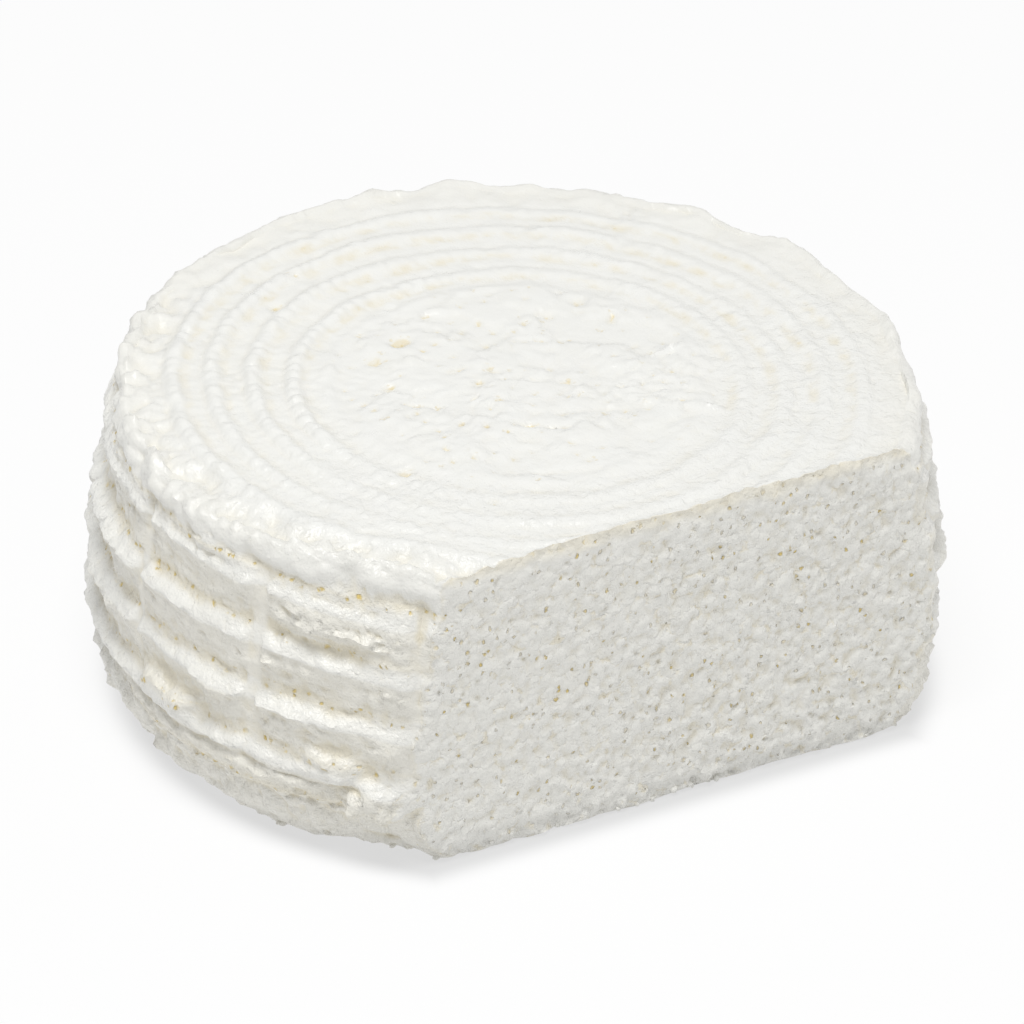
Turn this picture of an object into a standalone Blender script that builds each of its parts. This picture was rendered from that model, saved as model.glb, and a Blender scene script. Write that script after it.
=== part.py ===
"""Panela cheese: a wheel of fresh white cheese from a basket mould, with one straight slice cut away.

The wheel is a turned profile: a flat underside, a barrel side with five ledges from the
basket's hoops, a rounded shoulder and a top with four raised rings. The turned mesh is then
worked over its surface: plain upright straps interrupt the ledges, the rings and ledges
waver as soft curd does, and the near corner of the cut is worn. A block takes the slice away.

Frame: +Z up, the cut face looks along -Y, and the origin lies under the middle of the
solid's box, on the plane that the cheese stands on.
"""

import math

import bmesh
import bpy
import numpy as np
from mathutils import Matrix, Vector, noise

MM = 0.001

# Overall size, the bends' sharpness as powers
HEIGHT = 83.4 * MM          # top face above the underside, at the wheel's axis
BELLY_RADIUS = 107.0 * MM   # widest, a third of the way up
BELLY_HEIGHT = 29.0 * MM
TOP_BEND = 2.0
FOOT_BEND = 3.5
DRAW_TO_TOP = 7.4 * MM      # how far the side leans in from the belly to the top
DRAW_TO_FOOT = 11.5 * MM    # how far it rounds in from the belly to the foot
FOOT_SKEW = 4.0 * MM        # the foot rounds in more on one side than on the other
FOOT_SKEW_ANGLE = math.radians(137.0)
FOOT_RADIUS = 91.0 * MM     # flat underside
RIM_RADIUS = 96.5 * MM      # where the shoulder meets the top face
CUT_DISTANCE = 71.8 * MM    # from the wheel's axis to the cut face
TOP_LEAN = math.radians(1.0)  # the top face falls towards the cut
SHOULDER_RISE = 0.5 * MM    # the shoulder swells above the top face
SHOULDER_SET = 0.54 * MM    # and stands this far inside the crests at its foot
SHOULDER_STEPS = 4
SHOULDER_TURN = math.radians(25.0)
FOOT_SHARES = (0.55, 0.25, 0.06)  # heights of the foot's points, as shares of the lowest crest's

# Ledges left by the basket's hoops
LEDGE_COUNT = 5
LEDGE_PITCH = 14.8 * MM
TOP_CREST = 70.2 * MM       # height of the highest ledge's crest
LEDGE_DEPTH = 3.6 * MM      # from crest to crease
CREASE_AT = 0.29            # the crease's place between one crest and the next
SHELF_PLACES = (0.21, 0.1)  # profile points between a crease and the crest below it
FLANK_PLACES = (0.88, 0.6)  # profile points between a crest and the crease below it

# Upright straps of the basket
STRAP_COUNT = 15
STRAP_HALF_WIDTH = math.radians(0.9)
STRAP_EDGE = math.radians(0.7)
STRAP_START = math.radians(177.6)
STRAP_DEPTH = 1.5 * MM      # the strap's plain face, in from the crests
COLUMNS_PER_BAY = 7

# Raised rings on the top face
RING_RADII = tuple(r * MM for r in (85.0, 75.4, 65.4, 55.6))
RING_WIDTH = 5.0 * MM
RING_HEIGHT = 1.5 * MM
RING_CROWN = 0.45           # share of the ring's width that is level
GROOVE_DEPTH = 0.3 * MM
MIDDLE_RING_RADIUS = 47.0 * MM
MIDDLE_RING_WIDTH = 6.0 * MM
MIDDLE_RING_HEIGHT = 0.2 * MM
DISC_RADII = (0.0, 13.0 * MM, 25.0 * MM, 36.0 * MM)
DISC_DROP = 0.4 * MM        # the middle of the top face lies below its rim
RING_SAG = 2.4 * MM         # the inner rings are pushed in on the side away from the cut
RING_SAG_ANGLE = math.radians(85.0)
RING_SAG_SPREAD = math.radians(38.0)
RING_SAG_RADIUS = 55.0 * MM
RING_SAG_REACH = 12.0 * MM

# Unevenness of the curd. Each waver is its number of waves around the wheel and its own level
# in the noise, and the two together decide where it rises and falls.
WAVER = 1.0 * MM
RIM_LUMPS = 1.3 * MM
SIDE_SWAY = 0.6 * MM        # how far the ledges wander up and down
SIDE_SWAY_START = 8.0 * MM  # height at which they wander in full
TOP_RIPPLE = 0.35 * MM
DEPTH_VARIATION = 0.35      # of the ledges' depth
WAVE_HEIGHT = 12.0 * MM
RIPPLE_LENGTH = 14.0 * MM
SEED = Vector((3.7, 11.3, 5.9))
DEPTH_WAVER = (8.0, 0.0)
SIDE_WAVER = (4.0, 40.0)
SWAY_WAVER = (5.0, 80.0)
RIPPLE_LEVEL = 120.0
RIM_WAVER = (6.0, 160.0)

# The corner at the left end of the cut is worn back and rounded off at the top
CORNER_ANGLE = math.radians(-137.0)
CORNER_SPREAD = math.radians(13.0)
CORNER_WEAR = 5.5 * MM
CORNER_DROP = 6.5 * MM
CORNER_REACH = 12.0 * MM
CORNER_WEAR_BEND = 6.0      # the wear grows towards the edge by this power
CORNER_DROP_BEND = 1.2
CORNER_HEIGHT_BEND = 3.0

# The ledges run out flat towards both ends of the cut
CUT_FADE = math.radians(5.0)
CUT_FLATTENING = 0.55       # share of the ledges' depth that is lost there

# The block that takes the slice away
BLOCK_WIDTH = 260.0 * MM
BLOCK_DEPTH = 60.0 * MM
BLOCK_HEIGHT = 200.0 * MM

# Finish of the mesh
TINY = 0.001 * MM
MERGE = 0.05 * MM
SHARP_EDGE = math.radians(40.0)


def envelope(height: float) -> float:
    """Radius of the barrel over the crests of the ledges, at a height above the underside."""
    if height >= BELLY_HEIGHT:
        part = (height - BELLY_HEIGHT) / (HEIGHT - BELLY_HEIGHT)
        return BELLY_RADIUS - DRAW_TO_TOP * part ** TOP_BEND
    part = (BELLY_HEIGHT - height) / BELLY_HEIGHT
    return BELLY_RADIUS - DRAW_TO_FOOT * part ** FOOT_BEND


def ledge_depth(place: float) -> float:
    """Depth below the crests, where place runs from 0 at one crest to 1 at the next above."""
    if place < CREASE_AT:
        return LEDGE_DEPTH * (1.0 - math.cos(0.5 * math.pi * place / CREASE_AT))
    under = (place - CREASE_AT) / (1.0 - CREASE_AT)
    return LEDGE_DEPTH * (1.0 - math.sin(0.5 * math.pi * under))


def side_points() -> list[tuple[float, float]]:
    """Profile of the side, top to bottom, from the highest crease to the lowest crest."""
    points = []
    for index in range(LEDGE_COUNT):
        crest = TOP_CREST - index * LEDGE_PITCH
        for place in (CREASE_AT, *SHELF_PLACES):
            height = crest + place * LEDGE_PITCH
            points.append((envelope(height) - ledge_depth(place), height))
        if index == LEDGE_COUNT - 1:
            break
        for place in FLANK_PLACES:
            height = crest + (place - 1.0) * LEDGE_PITCH
            points.append((envelope(height) - ledge_depth(place), height))
    return points


def shoulder_points() -> list[tuple[float, float]]:
    """Profile of the rounded shoulder, from the top face down to the highest crease."""
    crease = TOP_CREST + CREASE_AT * LEDGE_PITCH
    outer = envelope(crease) - SHOULDER_SET
    drop = HEIGHT - crease
    points = []
    for step in range(SHOULDER_STEPS):
        angle = 0.5 * math.pi - step * SHOULDER_TURN
        radius = RIM_RADIUS + (outer - RIM_RADIUS) * math.cos(angle)
        points.append((radius, HEIGHT + SHOULDER_RISE - drop * (1.0 - math.sin(angle))))
    return points


def ring_points() -> list[tuple[float, float]]:
    """Profile of the top face, from the axis out to the last ring."""
    points = [(radius, HEIGHT - DISC_DROP) for radius in DISC_RADII]
    reach = 0.5 * MIDDLE_RING_WIDTH
    points.append((MIDDLE_RING_RADIUS - reach, HEIGHT - GROOVE_DEPTH))
    points.append((MIDDLE_RING_RADIUS, HEIGHT + MIDDLE_RING_HEIGHT))
    points.append((MIDDLE_RING_RADIUS + reach, HEIGHT - GROOVE_DEPTH))
    half = 0.5 * RING_WIDTH
    for radius in reversed(RING_RADII):
        points.append((radius - half, HEIGHT - GROOVE_DEPTH))
        points.append((radius - RING_CROWN * half, HEIGHT + RING_HEIGHT))
        points.append((radius + RING_CROWN * half, HEIGHT + RING_HEIGHT))
        points.append((radius + half, HEIGHT))
    return points


def foot_points() -> list[tuple[float, float]]:
    """Profile of the rounded foot and the flat underside, from the side in to the axis."""
    lowest = TOP_CREST - (LEDGE_COUNT - 1) * LEDGE_PITCH
    points = []
    for share in FOOT_SHARES:
        height = share * lowest
        points.append((envelope(height), height))
    points.append((FOOT_RADIUS, 0.0))
    points.append((0.0, 0.0))
    return points


def wheel_profile() -> list[tuple[float, float]]:
    """The whole turned profile at +X, from the top of the axis down the side to its foot."""
    return ring_points() + shoulder_points() + side_points() + foot_points()


def collection(name: str) -> bpy.types.Collection:
    """Make a collection in the scene."""
    made = bpy.data.collections.new(name)
    bpy.context.scene.collection.children.link(made)
    return made


def turned(
    name: str, profile: list[tuple[float, float]], steps: int, home: bpy.types.Collection
) -> bpy.types.Object:
    """Turn a profile about Z and return the result as a plain mesh object."""
    mesh = bpy.data.meshes.new(name + "_profile")
    edges = [(i, i + 1) for i in range(len(profile) - 1)]
    mesh.from_pydata([(r, 0.0, z) for r, z in profile], edges, [])
    guide = bpy.data.objects.new(name + "_profile", mesh)
    home.objects.link(guide)
    screw = guide.modifiers.new("turn", "SCREW")
    screw.angle = 2.0 * math.pi
    screw.steps = steps
    screw.render_steps = steps
    screw.use_merge_vertices = True
    screw.merge_threshold = 10.0 * TINY
    bpy.context.view_layer.update()
    evaluated = guide.evaluated_get(bpy.context.evaluated_depsgraph_get())
    solid_mesh = bpy.data.meshes.new_from_object(evaluated)
    solid_mesh.name = name
    solid = bpy.data.objects.new(name, solid_mesh)
    home.objects.link(solid)
    bpy.data.objects.remove(guide)
    return solid


def wavering(angle: float, height: float, waver: tuple[float, float]) -> float:
    """Smooth noise over the wheel, from -1 to 1, without a seam where the angle wraps."""
    waves, level = waver
    place = Vector((math.cos(angle) * waves, math.sin(angle) * waves, height / WAVE_HEIGHT + level))
    return noise.noise(place + SEED)


def spread_angle(angle: float, share: float) -> float:
    """Gather the evenly turned columns at the straps' edges, by a share from 0 to 1."""
    bay = 2.0 * math.pi / STRAP_COUNT
    column = round(angle / bay * COLUMNS_PER_BAY)
    index, place = divmod(column, COLUMNS_PER_BAY)
    inner = STRAP_HALF_WIDTH
    outer = STRAP_HALF_WIDTH + STRAP_EDGE
    span = bay - 2.0 * outer
    between = [outer + quarter * span / 4.0 for quarter in range(4)]
    offsets = (-inner, inner, *between, bay - outer)
    even = (place - 0.5) * bay / COLUMNS_PER_BAY
    return STRAP_START + index * bay + even + share * (offsets[place] - even)


def strap_share(angle: float) -> float:
    """1 on a strap's plain face, 0 between straps."""
    bay = 2.0 * math.pi / STRAP_COUNT
    off = abs((angle - STRAP_START + 0.5 * bay) % bay - 0.5 * bay)
    return 1.0 - min(max((off - STRAP_HALF_WIDTH) / STRAP_EDGE, 0.0), 1.0)


def apart(angle: float, other: float) -> float:
    """Signed turn from one angle to another, from -pi to pi."""
    return (angle - other + math.pi) % (2.0 * math.pi) - math.pi


def cut_share(angle: float) -> float:
    """1 at either end of the cut, falling to 0 away from it."""
    half = math.acos(CUT_DISTANCE / BELLY_RADIUS)
    off = abs(abs(apart(angle, -0.5 * math.pi)) - half)
    return math.exp(-((off / CUT_FADE) ** 2))


def foot_skew(angle: float, height: float) -> float:
    """How much further in the foot rounds on one side of the wheel."""
    part = max((BELLY_HEIGHT - height) / BELLY_HEIGHT, 0.0)
    return FOOT_SKEW * math.cos(angle - FOOT_SKEW_ANGLE) * part ** FOOT_BEND


def worked_side(radius: float, angle: float, height: float) -> float:
    """Radius of a point of the side once the straps and the curd's waver have shaped it."""
    outer = envelope(height)
    depth = outer - radius
    depth *= 1.0 + DEPTH_VARIATION * wavering(angle, height, DEPTH_WAVER)
    depth *= 1.0 - CUT_FLATTENING * cut_share(angle)
    share = strap_share(angle)
    depth = depth * (1.0 - share) + STRAP_DEPTH * share
    return outer - depth + WAVER * wavering(angle, height, SIDE_WAVER)


def ring_sag(radius: float, angle: float) -> float:
    """How far the inner rings are pushed towards the axis."""
    around = math.exp(-((apart(angle, RING_SAG_ANGLE) / RING_SAG_SPREAD) ** 2))
    across = math.exp(-(((radius - RING_SAG_RADIUS) / RING_SAG_REACH) ** 2))
    return RING_SAG * around * across


def corner_wear(angle: float) -> float:
    """How far the side is worn back near the left corner of the cut."""
    return CORNER_WEAR * math.exp(-((apart(angle, CORNER_ANGLE) / CORNER_SPREAD) ** 2))


def corner_drop(x: float, y: float, height: float) -> float:
    """How far the top is rounded off at the left corner of the cut."""
    rim = BELLY_RADIUS - DRAW_TO_TOP - CORNER_WEAR
    corner_x = -math.sqrt(rim ** 2 - CUT_DISTANCE ** 2)
    away = math.hypot(x - corner_x, y + CUT_DISTANCE)
    near = max(1.0 - away / CORNER_REACH, 0.0)
    return CORNER_DROP * near ** CORNER_DROP_BEND * (height / HEIGHT) ** CORNER_HEIGHT_BEND


def worked_point(point: Vector) -> Vector:
    """Move one point of the turned wheel to its place on the uneven cheese."""
    radius = math.hypot(point.x, point.y)
    height = point.z
    if radius < TINY:
        return point.copy()
    crease = TOP_CREST + CREASE_AT * LEDGE_PITCH
    on_side = radius > RIM_RADIUS - MERGE and height > TINY
    fade = min(max((HEIGHT - height) / (HEIGHT - crease), 0.0), 1.0)
    angle = spread_angle(math.atan2(point.y, point.x), fade if on_side else float(height < TINY))
    if on_side:
        worked = worked_side(radius, angle, height)
        loose = radius + WAVER * wavering(angle, height, SIDE_WAVER)
        radius = loose * (1.0 - fade) + worked * fade
        sway = SIDE_SWAY * min(height / SIDE_SWAY_START, 1.0) * wavering(angle, height, SWAY_WAVER)
        height += RIM_LUMPS * (1.0 - fade) * wavering(angle, 0.0, RIM_WAVER) + sway * fade
    elif height > 0.5 * HEIGHT:
        radius -= ring_sag(radius, angle)
        height += TOP_RIPPLE * wavering(angle, 0.0, (radius / RIPPLE_LENGTH, RIPPLE_LEVEL))
    if radius > 0.5 * FOOT_RADIUS:
        radius -= corner_wear(angle) * min((radius / FOOT_RADIUS) ** CORNER_WEAR_BEND, 1.0)
        radius -= foot_skew(angle, height)
    x = radius * math.cos(angle)
    y = radius * math.sin(angle)
    lean = 1.0 + math.tan(TOP_LEAN) * y / HEIGHT
    return Vector((x, y, height * lean - corner_drop(x, y, height)))


def work_surface(solid: bpy.types.Object) -> None:
    """Work the turned mesh over into uneven curd."""
    mesh = solid.data
    for vertex in mesh.vertices:
        vertex.co = worked_point(vertex.co)
    mesh.update()


def slice_cutter(home: bpy.types.Collection) -> bpy.types.Object:
    """The block that takes the slice away, with its face on the cut."""
    bpy.ops.mesh.primitive_cube_add(size=1.0)
    block = bpy.context.object
    block.name = "slice_cutter"
    block.data.transform(Matrix.Diagonal((BLOCK_WIDTH, BLOCK_DEPTH, BLOCK_HEIGHT, 1.0)))
    block.location = (0.0, -CUT_DISTANCE - 0.5 * BLOCK_DEPTH, 0.5 * HEIGHT)
    for owner in list(block.users_collection):
        owner.objects.unlink(block)
    home.objects.link(block)
    block.hide_render = True
    block.display_type = "WIRE"
    return block


def cut_slice(solid: bpy.types.Object, cutter: bpy.types.Object) -> None:
    """Take the slice away with a Boolean and keep the result as the solid's own mesh."""
    cut = solid.modifiers.new("slice", "BOOLEAN")
    cut.operation = "DIFFERENCE"
    cut.solver = "EXACT"
    cut.object = cutter
    bpy.context.view_layer.update()
    evaluated = solid.evaluated_get(bpy.context.evaluated_depsgraph_get())
    mesh = bpy.data.meshes.new_from_object(evaluated)
    solid.modifiers.remove(cut)
    solid.data = mesh


def stand_on_origin(solid: bpy.types.Object) -> None:
    """Bring the middle of the solid's box over the origin."""
    points = np.array([vertex.co for vertex in solid.data.vertices])
    middle = 0.5 * (points.min(axis=0) + points.max(axis=0))
    for vertex in solid.data.vertices:
        vertex.co.x -= middle[0]
        vertex.co.y -= middle[1]


def clean_faces(solid: bpy.types.Object, distance: float) -> None:
    """Merge points that the cut left almost touching, make the underside one face, shade smooth."""
    work = bmesh.new()
    work.from_mesh(solid.data)
    bmesh.ops.remove_doubles(work, verts=work.verts, dist=distance)
    bmesh.ops.dissolve_degenerate(work, edges=work.edges, dist=0.5 * distance)
    underside = [face for face in work.faces if max(vert.co.z for vert in face.verts) < TINY]
    bmesh.ops.dissolve_faces(work, faces=underside)
    work.to_mesh(solid.data)
    work.free()
    solid.data.shade_smooth()
    solid.data.set_sharp_from_angle(angle=SHARP_EDGE)


def curd_material() -> bpy.types.Material:
    """Moist white curd."""
    material = bpy.data.materials.new("curd")
    material.use_nodes = True
    shader = material.node_tree.nodes["Principled BSDF"]
    shader.inputs["Base Color"].default_value = (0.86, 0.85, 0.80, 1.0)
    shader.inputs["Roughness"].default_value = 0.45
    shader.inputs["Metallic"].default_value = 0.0
    return material


def main() -> None:
    """Clear the scene and build the cheese."""
    for old in list(bpy.data.objects):
        bpy.data.objects.remove(old, do_unlink=True)
    parts = collection("panela_cheese")
    cutters = collection("cutters")
    steps = STRAP_COUNT * COLUMNS_PER_BAY
    cheese = turned("cheese", wheel_profile(), steps, parts)
    work_surface(cheese)
    cut_slice(cheese, slice_cutter(cutters))
    clean_faces(cheese, MERGE)
    stand_on_origin(cheese)
    cheese.data.materials.clear()
    cheese.data.materials.append(curd_material())


main()
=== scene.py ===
"""The finish of the panela cheese: moist white curd with the basket's marks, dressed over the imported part.

The cheese is one closed skin. Rows and columns follow the wheel, Geometry Nodes press the
basket's ledges, straps and rings into them and roughen the curd, a plane takes the slice away,
and a second tree breaks up the cut face. Crumbs of curd cling to its foot.

Frame: metres, +Z up, the cut face looks along -Y and the cheese stands on Z = 0.
"""

import logging
import math
from dataclasses import dataclass, field
from enum import Enum
from typing import Any, Iterable, Optional, Union

import bmesh
import bpy
import numpy as np
from mathutils import Matrix, Vector, geometry, noise


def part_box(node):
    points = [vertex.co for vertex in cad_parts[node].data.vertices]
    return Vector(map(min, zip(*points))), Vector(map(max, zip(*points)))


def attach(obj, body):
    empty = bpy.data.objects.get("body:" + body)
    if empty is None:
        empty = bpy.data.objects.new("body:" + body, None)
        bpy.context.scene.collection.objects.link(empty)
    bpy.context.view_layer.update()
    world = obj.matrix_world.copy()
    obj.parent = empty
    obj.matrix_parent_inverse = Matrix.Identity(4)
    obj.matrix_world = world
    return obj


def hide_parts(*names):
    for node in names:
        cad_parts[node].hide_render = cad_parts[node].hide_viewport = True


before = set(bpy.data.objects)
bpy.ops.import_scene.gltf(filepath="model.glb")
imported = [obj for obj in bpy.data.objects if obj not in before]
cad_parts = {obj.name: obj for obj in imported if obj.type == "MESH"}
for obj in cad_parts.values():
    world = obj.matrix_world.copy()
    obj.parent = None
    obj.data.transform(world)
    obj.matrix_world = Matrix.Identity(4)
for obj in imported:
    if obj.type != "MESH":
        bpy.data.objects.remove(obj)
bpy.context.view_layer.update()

MM = 0.001
NODE = "cheese"
BODY = "root"

log = logging.getLogger("panela")

Number = Union[int, float]
Operand = Union["Wire", Number]


class Mark(Enum):
    """What the finished skin holds at each point for its finish."""

    # whey: whey's yellow, with a faint share of painted warm shade along the side's creases
    WHEY_AND_CREASE_SHADE = "whey"
    SMOOTH = "smooth"
    CUT = "cut"
    HOLLOW = "hollow"
    # warm: painted warm shade on the side's flanks and creases, and whey's yellow in the top's ring grooves
    WARM_SHADE_AND_WHEY = "warm"


class Wire:
    """A socket that takes part in arithmetic: each operator adds a Math node to its tree."""

    def __init__(self, bench: "Bench", socket: bpy.types.NodeSocket) -> None:
        """Wrap a socket.

        Args:
            bench: The bench that holds the socket's tree.
            socket: An output socket.
        """
        self.bench = bench
        self.socket = socket

    def __add__(self, other: Operand) -> "Wire":
        """Sum."""
        return self.bench.math("ADD", self, other)

    def __radd__(self, other: Number) -> "Wire":
        """Sum with the number first."""
        return self.bench.math("ADD", other, self)

    def __sub__(self, other: Operand) -> "Wire":
        """Difference."""
        return self.bench.math("SUBTRACT", self, other)

    def __rsub__(self, other: Number) -> "Wire":
        """Difference with the number first."""
        return self.bench.math("SUBTRACT", other, self)

    def __mul__(self, other: Operand) -> "Wire":
        """Product."""
        return self.bench.math("MULTIPLY", self, other)

    def __rmul__(self, other: Number) -> "Wire":
        """Product with the number first."""
        return self.bench.math("MULTIPLY", other, self)

    def __truediv__(self, other: Operand) -> "Wire":
        """Quotient."""
        return self.bench.math("DIVIDE", self, other)

    def __rtruediv__(self, other: Number) -> "Wire":
        """Quotient with the number first."""
        return self.bench.math("DIVIDE", other, self)

    def __pow__(self, other: Operand) -> "Wire":
        """Power."""
        return self.bench.math("POWER", self, other)

    def __neg__(self) -> "Wire":
        """Opposite."""
        return self.bench.math("MULTIPLY", self, -1.0)

    def __abs__(self) -> "Wire":
        """Size without sign."""
        return self.bench.math("ABSOLUTE", self)

    def sin(self) -> "Wire":
        """Sine."""
        return self.bench.math("SINE", self)

    def cos(self) -> "Wire":
        """Cosine."""
        return self.bench.math("COSINE", self)

    def fraction(self) -> "Wire":
        """Part after the whole number."""
        return self.bench.math("FRACT", self)

    def floor(self) -> "Wire":
        """Whole number below."""
        return self.bench.math("FLOOR", self)

    def below(self, limit: Operand) -> "Wire":
        """1 where the value is below a limit, else 0."""
        return self.bench.math("LESS_THAN", self, limit)

    def above(self, limit: Operand) -> "Wire":
        """1 where the value is above a limit, else 0."""
        return self.bench.math("GREATER_THAN", self, limit)

    def least(self, other: Operand) -> "Wire":
        """The smaller of two values."""
        return self.bench.math("MINIMUM", self, other)

    def most(self, other: Operand) -> "Wire":
        """The larger of two values."""
        return self.bench.math("MAXIMUM", self, other)

    def ramp(self, low: Number, high: Number, start: Number = 0.0, end: Number = 1.0) -> "Wire":
        """Ease from start to end as the value goes from low to high.

        Args:
            low: Value at which the result is start.
            high: Value at which the result is end.
            start: Result at and below low.
            end: Result at and above high.

        Returns:
            The eased value.
        """
        values = {"Value": self, "From Min": low, "From Max": high, "To Min": start, "To Max": end}
        return self.bench.node("ShaderNodeMapRange", {"interpolation_type": "SMOOTHSTEP"}, values)

    def blend(self, first: Operand, second: Operand) -> "Wire":
        """First where this is 0, second where it is 1."""
        return first + self * (second - first)


@dataclass
class Bench:
    """Adds nodes to one tree."""

    tree: bpy.types.NodeTree

    def node(
        self,
        kind: str,
        settings: Optional[dict[str, Any]] = None,
        values: Optional[dict[Union[str, int], Any]] = None,
        output: Union[str, int] = 0,
    ) -> Wire:
        """Add a node.

        Args:
            kind: The node's type name.
            settings: The node's own settings, set first.
            values: Values or wires for its input sockets, by name or number.
            output: The output that the wire carries.

        Returns:
            The chosen output as a wire.
        """
        made = self.tree.nodes.new(kind)
        for name, value in (settings or {}).items():
            setattr(made, name, value)
        for name, value in (values or {}).items():
            if isinstance(value, Wire):
                self.tree.links.new(value.socket, made.inputs[name])
            else:
                made.inputs[name].default_value = value
        return Wire(self, made.outputs[output]) if len(made.outputs) else Wire(self, None)

    def math(self, operation: str, first: Operand, second: Optional[Operand] = None) -> Wire:
        """Add a Math node.

        Args:
            operation: The Math node's operation.
            first: Its first value.
            second: Its second value, where it has one.

        Returns:
            The result.
        """
        values: dict[Union[str, int], Any] = {0: first}
        if second is not None:
            values[1] = second
        return self.node("ShaderNodeMath", {"operation": operation}, values)

    def vector(self, x: Operand, y: Operand, z: Operand) -> Wire:
        """Join three values into a vector."""
        return self.node("ShaderNodeCombineXYZ", None, {0: x, 1: y, 2: z})

    def vector_math(self, operation: str, first: Wire, second: Any) -> Wire:
        """Add a Vector Math node and return its vector."""
        return self.node("ShaderNodeVectorMath", {"operation": operation}, {0: first, 1: second})

    def scaled(self, vector: Wire, factor: Number) -> Wire:
        """A vector made longer or shorter."""
        return self.vector_math("MULTIPLY", vector, Vector((factor, factor, factor)))

    def moved(self, place: Wire, x: Number, y: Number, z: Number) -> Wire:
        """A place moved by fixed steps."""
        return self.vector_math("ADD", place, Vector((x, y, z)))

    def wander(self, place: Wire, size: float, amount: float) -> Wire:
        """A place moved about by smooth noise.

        Args:
            place: The place, in millimetres.
            size: Size of the noise, in millimetres.
            amount: How far it moves at most, in millimetres.

        Returns:
            The moved place.
        """
        values = {"Vector": place, "Scale": 1.0 / size, "Detail": 1.0}
        colour = self.node("ShaderNodeTexNoise", None, values, "Color")
        away = self.vector_math("SUBTRACT", colour, Vector((0.5, 0.5, 0.5)))
        return self.vector_math("ADD", place, self.scaled(away, amount))

    def beads(self, place: Wire, size: float) -> Wire:
        """Round grains pressed together, from 1 at the top of each to about -0.3 where they meet.

        Args:
            place: Where they are read, in millimetres.
            size: Distance between grains, in millimetres.

        Returns:
            The height of the grains.
        """
        values = {"Vector": place, "Scale": 1.0 / size}
        distance = self.node("ShaderNodeTexVoronoi", {"feature": "F1"}, values, "Distance")
        return 1.0 - 2.0 * distance * distance

    def grain(self, place: Wire, size: float, detail: float = 2.0, roughness: float = 0.5) -> Wire:
        """Smooth noise from about -1 to 1.

        Args:
            place: Where it is read, in millimetres.
            size: Size of its features, in millimetres.
            detail: Number of finer layers.
            roughness: Strength of the finer layers.

        Returns:
            The noise.
        """
        values = {"Vector": place, "Scale": 1.0 / size, "Detail": detail, "Roughness": roughness}
        return (self.node("ShaderNodeTexNoise", None, values) - 0.5) * 2.6

    def lumps(self, place: Wire, size: float, softness: float = 0.35) -> Wire:
        """Rounded lumps: 1 in the middle of each, falling to about 0 in the gaps between them.

        Args:
            place: Where it is read, in millimetres.
            size: Distance between lumps, in millimetres.
            softness: How far neighbouring lumps melt together.

        Returns:
            The height of the lumps.
        """
        settings = {"feature": "SMOOTH_F1"}
        values = {"Vector": place, "Scale": 1.0 / size, "Smoothness": softness}
        distance = self.node("ShaderNodeTexVoronoi", settings, values, "Distance")
        return 1.0 - distance * 1.25

    def dots(self, place: Wire, size: float, radius: float, share: float, flat: bool = False) -> Wire:
        """Scattered round dots.

        Args:
            place: Where they are read, in millimetres.
            size: Distance between the cells that may hold one, in millimetres.
            radius: Radius of the largest dot, as a share of the distance.
            share: Share of the cells that hold a dot.
            flat: True to scatter them over X and Y of the place alone.

        Returns:
            1 in a dot, 0 outside.
        """
        settings = {"feature": "F1", "voronoi_dimensions": "2D" if flat else "3D"}
        values = {"Vector": place, "Scale": 1.0 / size}
        made = self.node("ShaderNodeTexVoronoi", settings, values, "Distance")
        colour = Wire(self, made.socket.node.outputs["Color"])
        chance = self.node("ShaderNodeSeparateXYZ", None, {0: colour}, 0)
        reach = radius * (0.45 + 0.55 * self.node("ShaderNodeSeparateXYZ", None, {0: colour}, 1))
        return (made / reach).ramp(0.25, 1.15, 1.0, 0.0) * chance.below(share)


@dataclass(frozen=True)
class Patch:
    """A soft-edged patch of the side."""

    turn: float       # degrees about the wheel's axis
    rise: float       # millimetres above the underside
    half_turn: float  # degrees
    half_rise: float  # millimetres
    amount: float


@dataclass(frozen=True)
class Ridge:
    """A raised line of torn curd on the side."""

    start: float      # degrees about the wheel's axis
    end: float
    rise: float       # millimetres above the underside, at its start
    climb: float      # millimetres it climbs from start to end
    width: float      # millimetres
    height: float


@dataclass(frozen=True)
class Scallop:
    """A rounded bump of the rim, where the basket's edge let the curd out."""

    turn: float       # degrees about the wheel's axis
    half_turn: float
    amount: float


@dataclass(frozen=True)
class Pit:
    """A hole left by a pocket of whey in the top face."""

    x: float          # millimetres from the wheel's axis
    y: float
    size: float
    depth: float


@dataclass(frozen=True)
class Seam:
    """A raised bead, or with a height below 0 a crack, in the top face."""

    x: float          # millimetres from the wheel's axis, at its start
    y: float
    end_x: float
    end_y: float
    width: float
    height: float


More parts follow.
